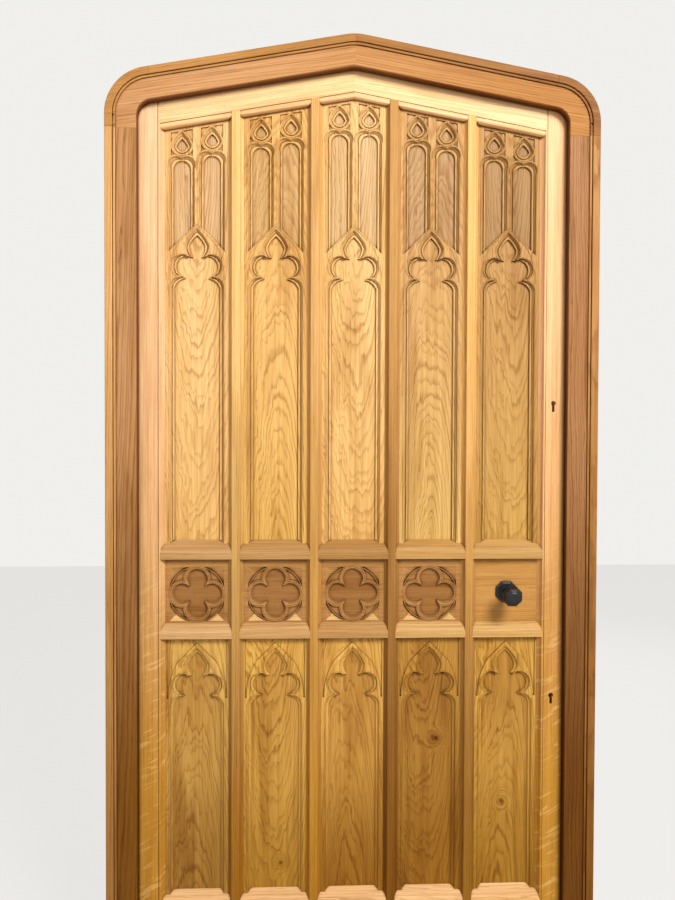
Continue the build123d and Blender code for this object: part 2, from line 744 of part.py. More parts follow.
# Upper panels: two lights with eyes over a traceried head, following the slope of the arch
for number, x in enumerate(bay_middles, 1):
    with BuildPart() as panel:
        with BuildSketch(from_front(panel_front)):
            add(gable_area(top_tongue, wide, upper_rail_z + rail_groove_floor + panel_play))
            with Locations((x, 0)):
                Rectangle(2 * tongue_half, 4 * above, mode=Mode.INTERSECT)
        extrude(amount=-panel_thickness)
        add(sinking(*[head_area(x, upper_head_z, upper_rail_z, inset) for inset in (0, 1)]),
            mode=Mode.SUBTRACT)
        for lean in (-1, 1):
            middle = x + lean * light_offset
            eye_top = sight_line_z(middle, top_rail_flat + top_bead) - eye_drop
            light_top = eye_top - eye_height - light_gap
            hood_point = upper_head_z + hood_height
            add(sinking(*[light_area(x, lean, light_top, hood_point, inset) for inset in (0, 1)]),
                mode=Mode.SUBTRACT)
            add(sinking(*[eye_area(middle, eye_top, inset) for inset in (0, 1)]), mode=Mode.SUBTRACT)
            with BuildSketch(from_front(panel_front)):
                add(tracery_pockets(x, lean, eye_top, light_top, hood_point))
            extrude(amount=-pocket_sink, mode=Mode.SUBTRACT)
        add(rails["upper"][number - 1], mode=Mode.SUBTRACT)
    save(panel, f"upper_panel_{number}")


def lobes_sinking(x):
    """Quatrefoil sunk to the ground: four dished lobes, joined by two crossing dished bars."""
    start = panel_front + carved_step
    depth = ground - start
    inner = lobe_radius - lobe_hollow
    with BuildPart() as void:
        with BuildSketch(from_front(panel_front)):
            add(lobes_area(x, lobe_radius))
        extrude(amount=-carved_step)
        with Locations(Location((x, start, quatrefoil_z), (90, 0, 0))):
            with PolarLocations(lobe_offset, 4):
                Cone(inner, lobe_radius, depth, align=(Align.CENTER, Align.CENTER, Align.MAX))
        for long_x, long_z in ((lobe_offset, 0), (0, lobe_offset)):
            with BuildSketch(from_front(start)):
                with Locations((x, quatrefoil_z)):
                    Rectangle(2 * (long_x or lobe_radius), 2 * (long_z or lobe_radius))
            with BuildSketch(from_front(ground)):
                with Locations((x, quatrefoil_z)):
                    Rectangle(2 * (long_x or inner), 2 * (long_z or inner))
            loft(ruled=True)
    return void.part


def corner_pockets(x):
    """Pockets in the four corners outside a ring, sloping down to its rim."""
    with BuildPart() as void:
        with Locations(Location((x, panel_front, quatrefoil_z), (90, 0, 0))):
            Cone(ring_radius + ring_rim, ring_radius * sqrt(2), corner_depth,
                 align=(Align.CENTER, Align.CENTER, Align.MAX))
            Box(2 * ring_radius, 2 * ring_radius, 2 * corner_depth, mode=Mode.INTERSECT)
            Cylinder(ring_radius + ring_rim, 4 * corner_depth, mode=Mode.SUBTRACT)
    return void.part


# Middle row: four panels with a sunk quatrefoil in a ring, and four eyelets round its rim
middle_low = lower_rail_z + rail_groove_floor + panel_play
middle_high = upper_rail_z + panel_groove - panel_play
for number, x in enumerate(bay_middles[:-1], 1):
    with BuildPart() as panel:
        add(block(x - tongue_half, x + tongue_half, panel_front, panel_back, middle_low, middle_high))
        with BuildSketch(from_front(panel_front)):
            with Locations((x, quatrefoil_z)):
                Circle(ring_radius)
            add(lobes_area(x, lobe_radius + lobe_rim), mode=Mode.SUBTRACT)
        extrude(amount=-ring_sink, mode=Mode.SUBTRACT)
        add(lobes_sinking(x), mode=Mode.SUBTRACT)
        add(corner_pockets(x), mode=Mode.SUBTRACT)
        add(rails["lower"][number - 1], mode=Mode.SUBTRACT)
    save(panel, f"middle_panel_{number}")

# Lower panels: the same head over a tall plain field
for number, x in enumerate(bay_middles, 1):
    with BuildPart() as panel:
        add(block(x - tongue_half, x + tongue_half, panel_front, panel_back,
                  bottom_rail_z + rail_groove_floor + panel_play, lower_rail_z + panel_groove - panel_play))
        with BuildSketch(from_front(panel_front)):
            add(spandrel_area(x, lower_head_z))
        extrude(amount=-spandrel_sink, mode=Mode.SUBTRACT)
        add(sinking(*[head_area(x, lower_head_z, bottom_rail_z, inset) for inset in (0, 1)]),
            mode=Mode.SUBTRACT)
        add(bottom_rail.part, mode=Mode.SUBTRACT)
    save(panel, f"lower_panel_{number}")

# Lock block in the last bay of the middle row: plain, and flush with the inside of the leaf
lock_bay = bay_middles[-1]
block_half = panel_half - panel_play
with BuildPart() as lock_block:
    add(block(lock_bay - tongue_half, lock_bay + tongue_half, panel_front, panel_back,
              middle_low, middle_high))
    add(block(lock_bay - block_half, lock_bay + block_half, panel_back, leaf_back,
              lower_rail_z + rail_height + panel_play, upper_rail_z - panel_play))
    add(rails["lower"][-1], mode=Mode.SUBTRACT)
    add(latch_envelope, mode=Mode.SUBTRACT)
    with BuildSketch(from_front(panel_front - 1)):
        with Locations((knob_x, knob_z)):
            Circle(follower_radius + slide_play)
    extrude(amount=-(leaf_back - panel_front + 2), mode=Mode.SUBTRACT)
save(lock_block, "lock_block")

# Butt hinges: plates let into the edge of the leaf and the rebate, three knuckles on a loose pin
knuckle_length = hinge_height / knuckle_count


def hinge_leaf(side, z, turns):
    """One plate of a hinge with its share of the knuckles."""
    with BuildPart() as plate:
        add(hinge_plate_box(side, z))
        with BuildSketch(Plane.XY.offset(z - hinge_height / 2)):
            with Locations((hinge_axis_x, hinge_axis_y)):
                Circle(knuckle_radius)
        extrude(amount=hinge_height)
        gaps = [turn for turn in range(knuckle_count) if turn not in turns]
        for turn in gaps:
            low = z - hinge_height / 2 + turn * knuckle_length
            with BuildSketch(Plane.XY.offset(low - knuckle_play / 2)):
                with Locations((hinge_axis_x, hinge_axis_y)):
                    Circle(knuckle_radius + knuckle_play)
            extrude(amount=knuckle_length + knuckle_play, mode=Mode.SUBTRACT)
        with BuildSketch(Plane.XY.offset(z - hinge_height)):
            with Locations((hinge_axis_x, hinge_axis_y)):
                Circle(pin_radius if side < 0 else pin_radius + pin_play)
        extrude(amount=2 * hinge_height, mode=Mode.SUBTRACT)
    return plate.part


plate_turns = {"hinge_frame_plates": (-1, (0, 2)), "hinge_leaf_plates": (1, (1,))}
for name, (side, turns) in plate_turns.items():
    with BuildPart() as plates:
        for z in hinge_levels:
            add(hinge_leaf(side, z, turns))
    save(plates, name)

with BuildPart() as hinge_pins:
    for z in hinge_levels:
        with BuildSketch(Plane.XY.offset(z - hinge_height / 2)):
            with Locations((hinge_axis_x, hinge_axis_y)):
                Circle(pin_radius)
        extrude(amount=hinge_height)
        with BuildSketch(Plane.XY.offset(z + hinge_height / 2)):
            with Locations((hinge_axis_x, hinge_axis_y)):
                Circle(pin_head_radius)
        extrude(amount=pin_head_height, taper=20)
save(hinge_pins, "hinge_pins")

# Latch: case with its bolt, drawn back by the follower on the knobs' spindle
with BuildPart() as latch_case:
    add(latch_envelope)
    with Locations((knob_x, bolt_y, knob_z)):
        Box(2 * (leaf_half - knob_x), latch_bolt_thickness + 2 * slide_play,
            latch_bolt_height + 2 * slide_play, align=(Align.MIN, Align.CENTER, Align.CENTER),
            mode=Mode.SUBTRACT)
    with BuildSketch(from_front(bolt_y - latch_case_thickness)):
        with Locations((knob_x, knob_z)):
            Circle(follower_radius + slide_play)
    extrude(amount=-2 * latch_case_thickness, mode=Mode.SUBTRACT)
save(latch_case, "latch_case")

with BuildPart() as latch_bolt:
    head_start = leaf_half - latch_head
    with BuildSketch(Plane.XY.offset(knob_z - latch_bolt_height / 2)):
        with BuildLine():
            y0 = bolt_y - latch_bolt_thickness / 2
            y1 = bolt_y + latch_bolt_thickness / 2
            Polyline((head_start, y0), (head_start, y1), (leaf_half + latch_nose, y1),
                     (leaf_half + latch_throw, y0 + latch_tip), (leaf_half + latch_throw, y0), close=True)
        make_face()
    extrude(amount=latch_bolt_height)
    with Locations((head_start, bolt_y, knob_z)):
        Box(head_start - knob_x - follower_radius - latch_throw - slide_play,
            latch_tail_height, latch_tail_height,
            align=(Align.MAX, Align.CENTER, Align.CENTER))
save(latch_bolt, "latch_bolt")

with BuildPart() as knob_spindle:
    spindle_start = panel_front - knob_reach_outside / 2
    spindle_end = leaf_back + knob_reach_inside / 2
    with BuildSketch(from_front(spindle_start)):
        with Locations((knob_x, knob_z)):
            Rectangle(spindle_size, spindle_size)
    extrude(amount=-(spindle_end - spindle_start))
    with BuildSketch(from_front(bolt_y - latch_case_thickness / 2)):
        with Locations((knob_x, knob_z)):
            Circle(follower_radius)
    extrude(amount=-latch_case_thickness)
save(knob_spindle, "knob_spindle")


def faceted(rings):
    """Solid with flat facets between eight-sided rings, each a depth and a half width across flats."""
    loops = []
    for y, half_width in rings:
        corner_radius = half_width / cos(pi / 8)
        turns = [(turn + 0.5) * pi / 4 for turn in range(8)]
        loops.append([(knob_x + corner_radius * cos(t), y, knob_z + corner_radius * sin(t)) for t in turns])
    sides = [Face(Wire.make_polygon([near[i - 1], near[i], far[i], far[i - 1]]))
             for near, far in zip(loops, loops[1:]) for i in range(8)]
    ends = [Face(Wire.make_polygon(loop)) for loop in (loops[0], loops[-1])]
    return Solid(Shell(sides + ends))


for place, face, out, reach in (("outside", panel_front, -1, knob_reach_outside),
                                ("inside", leaf_back, 1, knob_reach_inside)):
    with BuildPart() as rose:
        add(faceted([(face, rose_radius), (face + out * rose_thickness / 2, rose_radius),
                     (face + out * rose_thickness, rose_radius - rose_bevel)]))
        with Locations(Location((knob_x, face, knob_z), (90, 0, 0))):
            Cylinder(neck_radius + slide_play, 4 * rose_thickness, mode=Mode.SUBTRACT)
    save(rose, f"rose_{place}")

    with BuildPart() as knob:
        end = face + out * reach
        back = end - out * knob_length
        add(faceted([(back, neck_radius + 1), (end - out * knob_widest, knob_radius),
                     (end - out * knob_bevel, knob_shoulder), (end, knob_facet)]))
        neck_start = face + out * neck_gap
        with BuildSketch(from_front(neck_start)):
            with Locations((knob_x, knob_z)):
                Circle(neck_radius)
        extrude(amount=-(back - neck_start + out))
        add(knob_spindle.part, mode=Mode.SUBTRACT)
    save(knob, f"knob_{place}")

# Deadlocks: case with keyhole, and the bolt drawn fully back
for place, keyhole_z, case_z, bolt_z in zip(("upper", "lower"), keyhole_levels, deadlock_middles,
                                            deadbolt_levels):
    with BuildPart() as deadlock_case:
        add(edge_box(case_edge, deadlock_depth, deadlock_thickness, deadlock_height, [case_z], Align.MAX))
        add(edge_box(case_edge, forend_thickness, forend_width, forend_height, [case_z]))
        with Locations((leaf_half - deadbolt_length - pocket_play, bolt_y, bolt_z)):
            Box(2 * deadbolt_length, deadbolt_thickness + 2 * slide_play, deadbolt_height + 2 * slide_play,
                align=(Align.MIN, Align.CENTER, Align.CENTER), mode=Mode.SUBTRACT)
        extrude(keyhole_sketch(), amount=-(leaf_back - leaf_front + 2), mode=Mode.SUBTRACT)
    save(deadlock_case, f"deadlock_case_{place}")

    with BuildPart() as deadbolt:
        with Locations((leaf_half, bolt_y, bolt_z)):
            Box(deadbolt_length, deadbolt_thickness, deadbolt_height,
                align=(Align.MAX, Align.CENTER, Align.CENTER))
        chamfer(deadbolt.faces().sort_by(Axis.X)[-1].edges(), bolt_chamfer)
    save(deadbolt, f"deadbolt_{place}")
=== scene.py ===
# %% [markdown]
# # An arched oak entrance door
#
# The door comes in as finished solids: a rebated frame with its cover strip, a framed leaf with
# five bays of carved panels, and the hinges, locks and knobs. Their shapes and sizes are right and
# stay as they are. This lesson adds what a joiner's finish adds: the figure of the oak on each
# board, the finest lines of the carving, screws, black iron, softened edges, and light to see it by.

# %% Load the door
from math import atan, atan2, cos, degrees, pi, radians, sin, sqrt
import bmesh
import bpy
from mathutils import Matrix, Vector


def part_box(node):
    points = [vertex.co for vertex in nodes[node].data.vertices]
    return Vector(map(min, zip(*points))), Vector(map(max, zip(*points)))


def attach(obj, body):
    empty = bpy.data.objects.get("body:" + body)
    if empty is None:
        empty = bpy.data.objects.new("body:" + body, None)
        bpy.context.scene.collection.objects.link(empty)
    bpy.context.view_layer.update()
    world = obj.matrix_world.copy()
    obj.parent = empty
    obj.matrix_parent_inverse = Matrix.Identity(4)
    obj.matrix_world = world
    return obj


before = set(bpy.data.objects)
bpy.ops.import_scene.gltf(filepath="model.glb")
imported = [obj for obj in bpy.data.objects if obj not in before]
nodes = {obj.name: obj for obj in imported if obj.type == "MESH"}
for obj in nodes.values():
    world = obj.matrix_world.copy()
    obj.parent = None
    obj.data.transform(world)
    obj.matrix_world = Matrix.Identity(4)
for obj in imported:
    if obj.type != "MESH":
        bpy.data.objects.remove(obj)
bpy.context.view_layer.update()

# %% [markdown]
# ## Sizes that the looks need
#
# X runs across the door, Y into the building and Z up, in metres, and the outside face looks
# towards -Y. The finish could be fitted by measuring the solids' meshes. But the carving was drawn
# from a few sizes, and the same sizes put each line of the finish exactly on the edge that it
# belongs to, so they are written down here once.

# %% Sizes of the leaf and its bays
mm = 0.001
bay_pitch = 0.184
bay_middles = [(i - 2) * bay_pitch for i in range(5)]
panel_face = 0.0405        # a panel's face, behind the face of the frame
panel_ground = 0.0495      # the sunk ground of its carving
arch_apex = 2.194
arch_slope = 0.182         # fall of each arm of the arch for each metre of width
upper_head = 1.690         # levels that the traceried heads spring from
lower_head = 0.703
quatrefoil_z = 0.969
print("bays:", len(bay_middles), "carved", round((panel_ground - panel_face) / mm, 1), "mm deep")

# %% [markdown]
# ## Tones as they look on a screen
#
# The tone of each board is judged on a screen, so it is easiest to write in those numbers,
# from 0 to 255. The nodes count light instead, on a scale where half the number is half the light.
# One small function turns a tone into that scale, rather than a new guess for every board.

# %% A tone from the screen
def screen(red, green, blue):
    """Linear colour of a tone given as it looks on a screen, from 0 to 255."""
    parts = [c / 255 for c in (red, green, blue)]
    return tuple(c / 12.92 if c < 0.04045 else ((c + 0.055) / 1.055) ** 2.4 for c in parts) + (1.0,)


print("pale oak as light:", [round(c, 2) for c in screen(250, 198, 150)[:3]])

# %% [markdown]
# ## Nodes with less typing
#
# A material is a tree of nodes. It could be drawn by hand in the shader editor, but more than forty
# boards share one recipe here, and a script keeps them in step. Each helper below stands for one
# thing that a finisher says: add this, more of this where there is more of that, stain it here.

# %% Nodes, joined as they are made
def add(tree, kind, inputs=None, **settings):
    """New node with its settings, its values, and its links where a value is a socket."""
    made = tree.nodes.new(kind)
    for key, value in settings.items():
        setattr(made, key, value)
    for key, value in (inputs or {}).items():
        if isinstance(value, bpy.types.NodeSocket):
            tree.links.new(value, made.inputs[key])
        else:
            made.inputs[key].default_value = value
    return made


def maths(tree, operation, first, second=0.0, third=0.0):
    """Output of one Math node."""
    return add(tree, "ShaderNodeMath", {0: first, 1: second, 2: third}, operation=operation).outputs[0]


def times(tree, first, second):
    """Product of two values."""
    return maths(tree, "MULTIPLY", first, second)


def spread(tree, value, low, high, to_low=0.0, to_high=1.0, smooth=True):
    """Value brought from one range to another, held at the ends."""
    return add(tree, "ShaderNodeMapRange", {"Value": value, "From Min": low, "From Max": high,
               "To Min": to_low, "To Max": to_high},
               interpolation_type="SMOOTHSTEP" if smooth else "LINEAR").outputs["Result"]


print("kinds of shader node to choose from:", sum(kind.startswith("ShaderNode") for kind in dir(bpy.types)))

# %% Mixing, staining and streaks
def blended(tree, share, first, second, how="MIX"):
    """Two colours mixed by a share."""
    return add(tree, "ShaderNodeMix", {0: share, 6: first, 7: second}, data_type="RGBA",
               blend_type=how).outputs[2]


def stained(tree, share, colour, tint):
    """Colour multiplied by a tint, where the share says so."""
    return blended(tree, share, colour, tint, "MULTIPLY")


def streaked(tree, point, stretch, detail=3.0, rough=0.55):
    """Noise with so many waves a metre across, behind and along the grain."""
    laid = add(tree, "ShaderNodeMapping", {"Vector": point, "Scale": stretch}).outputs[0]
    return add(tree, "ShaderNodeTexNoise", {"Vector": laid, "Scale": 1.0, "Detail": detail,
               "Roughness": rough}).outputs[0]


def vector(tree, operation, first, second):
    """One Vector Math node."""
    return add(tree, "ShaderNodeVectorMath", {0: first, 1: second}, operation=operation)


def blank_material(name):
    """New material with an empty tree of nodes."""
    made = bpy.data.materials.new(name)
    made.use_nodes = True
    made.node_tree.nodes.clear()
    return made, made.node_tree


mixing = bpy.types.ShaderNodeMix.bl_rna.properties["blend_type"].enum_items
print("ways to mix two colours:", len(mixing), "of which used here: Mix, Multiply and Screen")

# %% [markdown]
# ## What oak looks like
#
# A tree adds one ring a year: open, porous wood in spring, which looks dark, and dense pale wood
# after it. A board is a flat cut through those rings. Where the cut runs beside the pith the rings
# show as straight lines, and where it meets them at a slant they show as flames. A picture of wood
# would repeat from board to board and smear round the mouldings. A solid figure doesn't: at every
# point in space it asks how far the leaning, wandering pith is, and so its lines run round a corner
# as real grain does. One node group holds the recipe. Each board brings its own pith, lean and
# tones, because no two boards of a real door match.

# %% What each board tells the recipe
oak_inputs = {
    "Height": 1.0, "Foot height": 0.2, "Top height": 1.8,     # where the tone changes up the board
    "Pith across": 0.0, "Pith behind": 0.1, "Lean": 0.05,     # where the middle of the tree was
    "Ring": 0.004, "Wander": 0.02,                            # width of a ring, and how far it strays
    "Flecks": 0.0, "Contrast": 1.0, "Shade reach": 0.008}           # and how far out of a corner the painted shade reaches


def make_oak_sockets(tree):
    """Inputs and outputs of the oak group."""
    face = tree.interface
    face.new_socket("Point", in_out="INPUT", socket_type="NodeSocketVector")
    for name, value in oak_inputs.items():
        face.new_socket(name, in_out="INPUT", socket_type="NodeSocketFloat").default_value = value
    for name in ("Top tone", "Foot tone"):
        face.new_socket(name, in_out="INPUT", socket_type="NodeSocketColor")
    face.new_socket("Colour", in_out="OUTPUT", socket_type="NodeSocketColor")
    for name in ("Roughness", "Relief"):
        face.new_socket(name, in_out="OUTPUT", socket_type="NodeSocketFloat")


print("values that a board gives:", len(oak_inputs) + 3)

# %% [markdown]
# ## Rings
#
# The distance to the pith, divided by the width of a ring, counts the rings between them, and the
# fraction that is left over says where in its year a point of the wood was grown. Perfect rings
# look printed. Two slow noises bend the pith, a third bunches the rings into good and bad years,
# and a fine one frays each line.

# %% Counting the rings
waves = {"bend": (4, 4, 1.3), "waver": (30, 30, 7), "frayed": (70, 70, 9), "clouds": (10, 10, 1.1),
         "smoke": (26, 26, 2.6), "bands": (120, 120, 3.2), "fibres": (330, 330, 5),
         "pores": (700, 700, 26), "flecks": (13, 13, 95), "burr": (90, 90, 60)}


def ring_turns(tree, point, given):
    """How many rings lie between a point and the pith of its board."""
    apart = add(tree, "ShaderNodeSeparateXYZ", {0: point}).outputs
    slow = maths(tree, "SUBTRACT", streaked(tree, point, waves["bend"], 2.0, 0.5), 0.5)
    quick = maths(tree, "SUBTRACT", streaked(tree, point, waves["waver"], 3.0, 0.6), 0.5)
    sway = times(tree, maths(tree, "MULTIPLY_ADD", quick, 0.30, slow), given["Wander"])
    across = maths(tree, "ADD", maths(tree, "SUBTRACT", apart[0], given["Pith across"]), sway)
    leaning = maths(tree, "MULTIPLY_ADD", apart[2], given["Lean"], sway)
    behind = maths(tree, "ADD", maths(tree, "SUBTRACT", apart[1], given["Pith behind"]), leaning)
    square = maths(tree, "MULTIPLY_ADD", across, across, times(tree, behind, behind))
    turns = maths(tree, "DIVIDE", maths(tree, "SQRT", square), given["Ring"])
    years = add(tree, "ShaderNodeTexNoise", {"W": times(tree, turns, 0.33), "Scale": 1.0, "Detail": 2.0},
                noise_dimensions="1D").outputs[0]
    frayed = times(tree, streaked(tree, point, waves["frayed"], 2.0), 0.5)
    return maths(tree, "ADD", maths(tree, "MULTIPLY_ADD", years, 2.4, turns), frayed)


print("waves a metre, from the widest figure to the finest:",
      sorted(across for across, behind, along in waves.values()))

# %% Ring lines and the pores along them
early_end, next_start = 0.5, 0.86        # parts of a year: where the dark wood ends, and the next begins


def ring_lines(tree, turns):
    """The dark start of each ring, fading into its pale late wood, stronger in some years."""
    phase = maths(tree, "FRACT", turns)
    early = maths(tree, "MAXIMUM", spread(tree, phase, 0.0, early_end, 1.0, 0.0),
                  spread(tree, phase, next_start, 1.0))
    strong = add(tree, "ShaderNodeTexWhiteNoise", {"W": maths(tree, "FLOOR", turns)},
                 noise_dimensions="1D").outputs[0]
    return times(tree, early, maths(tree, "MULTIPLY_ADD", strong, 0.75, 0.3))


def open_pores(tree, point, ring_line):
    """Short dark strokes, most of them on the ring lines."""
    strokes = spread(tree, streaked(tree, point, waves["pores"], 1.0, 0.5), 0.56, 0.70)
    return times(tree, strokes, maths(tree, "MULTIPLY_ADD", ring_line, 0.8, 0.2))


print("share of a ring that fades from dark to pale:", early_end)

# %% [markdown]
# ## Ray flecks, stains and painted shade
#
# Oak also has rays, thin sheets that run out from the pith. A stile sawn along them shows pale,
# wavy bars, and a noise that is squashed and leans looks like them. The point has to be turned
# first and scaled after, but one Mapping node scales first, so it takes two. Nearly everything else
# darkens the tone of the board in layers, from broad clouds down to single pores. Carving reads by
# the dark in its quirks, hollows and corners, and here that dark is painted shade, with the oil and
# dust that stay where a cloth can't reach. It could be painted into the corners by hand, but Ambient
# Occlusion finds them by itself, as it measures how much of the sky a point sees within a short
# reach. The upper edges get dust instead.

# %% Tints of the layers, and the flecks
tints = {"clouds": (0.86, 0.77, 0.54, 1.0), "smoke": (0.62, 0.49, 0.31, 1.0),
         "bands": (0.72, 0.61, 0.41, 1.0), "rings": (0.56, 0.42, 0.24, 1.0),
         "fibres": (0.70, 0.60, 0.44, 1.0), "pores": (0.40, 0.27, 0.14, 1.0),
         "flecks": (1.0, 0.62, 0.25, 1.0), "shade_and_grime": (0.27, 0.165, 0.07, 1.0), "dust": (0.62, 0.60, 0.58, 1.0)}
fleck_tip = radians(27)
flecks_fade = (0.75, 1.15)      # heights between which the flecks grow faint


def ray_flecks(tree, point, given):
    """Pale wavy bars, tipped across the board, and fainter higher up."""
    tipped = add(tree, "ShaderNodeMapping", {"Vector": point, "Rotation": (0, fleck_tip, 0)}).outputs[0]
    squashed = add(tree, "ShaderNodeMapping", {"Vector": tipped, "Scale": waves["flecks"]}).outputs[0]
    bars = add(tree, "ShaderNodeTexNoise", {"Vector": squashed, "Scale": 1.0, "Detail": 2.5,
               "Roughness": 0.5, "Distortion": 1.3}).outputs[0]
    bars = times(tree, spread(tree, bars, 0.55, 0.66), given["Flecks"])
    return times(tree, bars, spread(tree, given["Height"], *flecks_fade, 1.0, 0.12))


print("tints:", ", ".join(tints), "- flecks tipped by", round(degrees(fleck_tip)), "degrees")

# %% Layers of stain
layer_strengths = {"smoke": 0.55, "rings": 0.66, "pores": 0.6}       # times the contrast of a board


def layered_tone(tree, point, given, ring_line, pores, fibres):
    """The tone of the board, stained layer by layer."""
    # Where the foot tone is darker than the top tone, it is partly painted shade of light from above.
    share_up = spread(tree, given["Height"], given["Foot height"], given["Top height"])
    colour = blended(tree, share_up, given["Foot tone"], given["Top tone"])
    strong = {name: times(tree, given["Contrast"], strength) for name, strength in layer_strengths.items()}
    clouds = spread(tree, streaked(tree, point, waves["clouds"]), 0.32, 0.72, 0.0, 0.5)
    smoke = spread(tree, streaked(tree, point, waves["smoke"], rough=0.6), 0.48, 0.70)
    bands = spread(tree, streaked(tree, point, waves["bands"], rough=0.6), 0.36, 0.66, 0.0, 0.42)
    layers = {"clouds": clouds, "smoke": times(tree, smoke, strong["smoke"]), "bands": bands,
              "rings": times(tree, ring_line, strong["rings"]),
              "fibres": spread(tree, fibres, 0.28, 0.72, 0.0, 0.45),
              "pores": times(tree, pores, strong["pores"])}
    for name, share in layers.items():
        colour = stained(tree, share, colour, tints[name])
    return colour


def corner_shade_and_grime(tree, colour, reach):
    """Colour darkened in quirks, hollows and corners: painted shade, with the oil and dust that gather there.
    """
    # Painted shade: the less sky Ambient Occlusion finds within the reach, the darker the colour.
    open_air = add(tree, "ShaderNodeAmbientOcclusion", {"Distance": reach}, samples=8).outputs["AO"]
    return stained(tree, spread(tree, open_air, 0.33, 0.96, 0.95, 0.0), colour, tints["shade_and_grime"])


def facing_up(tree):
    """1 on the upper edges, which nobody oils: they stay raw, dusty and dull."""
    normal = add(tree, "ShaderNodeNewGeometry").outputs["True Normal"]
    return spread(tree, add(tree, "ShaderNodeSeparateXYZ", {0: normal}).outputs[2], 0.85, 0.97)


print("layers that follow a board's contrast:", layer_strengths)

# %% The oak node group
def make_oak_group():
    """The whole recipe, for a board whose grain runs along Z."""
    tree = bpy.data.node_groups.new("oak_figure", "ShaderNodeTree")
    make_oak_sockets(tree)
    given = add(tree, "NodeGroupInput").outputs
    point = given["Point"]
    ring_line = ring_lines(tree, ring_turns(tree, point, given))
    fibres = streaked(tree, point, waves["fibres"], rough=0.65)
    pores = open_pores(tree, point, ring_line)
    colour = layered_tone(tree, point, given, ring_line, pores, fibres)
    flecks = times(tree, ray_flecks(tree, point, given), 0.22)
    # Darken quirks, hollows and corners as painted shade, with their oil and dust.
    colour = corner_shade_and_grime(tree, blended(tree, flecks, colour, tints["flecks"], "SCREEN"), given["Shade reach"])
    dusty = facing_up(tree)
    colour = stained(tree, times(tree, dusty, 0.6), colour, tints["dust"])
    matt = maths(tree, "MAXIMUM", maths(tree, "MULTIPLY_ADD", ring_line, 0.12, 0.50), dusty)
    pits = maths(tree, "MULTIPLY_ADD", ring_line, 0.25, pores)
    relief = maths(tree, "MULTIPLY_ADD", fibres, 0.4, times(tree, pits, -1.0))
    add(tree, "NodeGroupOutput", {"Colour": colour, "Roughness": matt, "Relief": relief})
    return tree


oak_group = make_oak_group()
print("oak group nodes:", len(oak_group.nodes))

# %% [markdown]
# ## The oak of one board
#
# Grain follows the length of a piece: up a stile, across a rail, and along both arms of the arch.
# The solids all keep one origin, so Object coordinates are true places on the door, and turning
# them is all it takes to lay a board another way. Unwrapping each piece would do it too, with far
# more work and a seam at every corner. A knot is a branch, and the rings bulge round it. That is
# done by pushing the point back before the rings are counted.

# %% Which way the grain runs
def along_the_grain(tree, place, apart, grain):
    """Point turned so that the board's grain runs along Z."""
    if grain == "up":
        return place
    if grain == "across":
        return add(tree, "ShaderNodeCombineXYZ", {0: apart[2], 1: apart[1], 2: apart[0]}).outputs[0]
    # Along both arms of the arch, mirrored at the crown but for a shift, so that no line meets its twin.
    slope = atan(arch_slope)
    side = maths(tree, "ABSOLUTE", apart[0])
    up = maths(tree, "MULTIPLY_ADD", side, sin(slope), times(tree, apart[2], cos(slope)))
    along = maths(tree, "SUBTRACT", times(tree, side, cos(slope)), times(tree, apart[2], sin(slope)))
    uneven = times(tree, maths(tree, "SIGN", apart[0]), 0.37)
    return add(tree, "ShaderNodeCombineXYZ", {0: up, 1: apart[1],
               2: maths(tree, "ADD", along, uneven)}).outputs[0]


print("the arch's grain slopes by", round(degrees(atan(arch_slope)), 1), "degrees")


# %% Round the knots
knot_reach, knot_swell = 4.5, 2.2        # how far and how strongly a knot bends the rings, in its sizes


def away_from_knots(tree, place, knots):
    """Distance from each knot, given by its places across and up, with the knot's size."""
    return [(vector(tree, "DISTANCE", place, (across, panel_ground, up)).outputs["Value"], size)
            for across, up, size in knots]


def round_the_knots(tree, laid, knots_away):
    """Point pushed back near each knot, so that the ring lines close about it."""
    for away, size in knots_away:
        bulge = times(tree, spread(tree, away, 0.0, size * knot_reach, 1.0, 0.0), size * knot_swell)
        swell = add(tree, "ShaderNodeCombineXYZ", {1: bulge}).outputs[0]
        laid = vector(tree, "ADD", laid, swell).outputs[0]
    return laid


print("a knot 8 mm in size bends the rings out to", round(8 * knot_reach), "mm from its middle")

# %% [markdown]
# ## Stains and painted shade that belong to one place
#
# A few marks belong to a place on the door and not to the figure of a board. The sunk grounds of
# the lights are greyer, the sunk grounds behind the foils are darker as painted shade, the rebate
# beside the leaf is darker as a painted shadow, and each knot has a dark heart. They could be painted
# on by hand, as an image for each board. But each of them lies at a known depth, height or spot on
# the door, and so the point's own coordinates say where it starts and ends.

# %% Tints and painted shade of the sunk grounds
hood_line = (0.131, 0.137)      # where the grey of the lights begins, above the springing
hood_steep = 1.3
# The foils' tint darkens their sunk ground as painted shade; the lights' tint makes theirs greyer.
ground_tints = {"lights": (0.80, 0.83, 1.0, 1.0), "foils": (0.74, 0.67, 0.62, 1.0)}


def at_depth(tree, behind, start, full, fading, end):
    """1 between two depths behind the face of the frame, with soft ends."""
    return times(tree, spread(tree, behind, start, full), spread(tree, behind, fading, end, 1.0, 0.0))


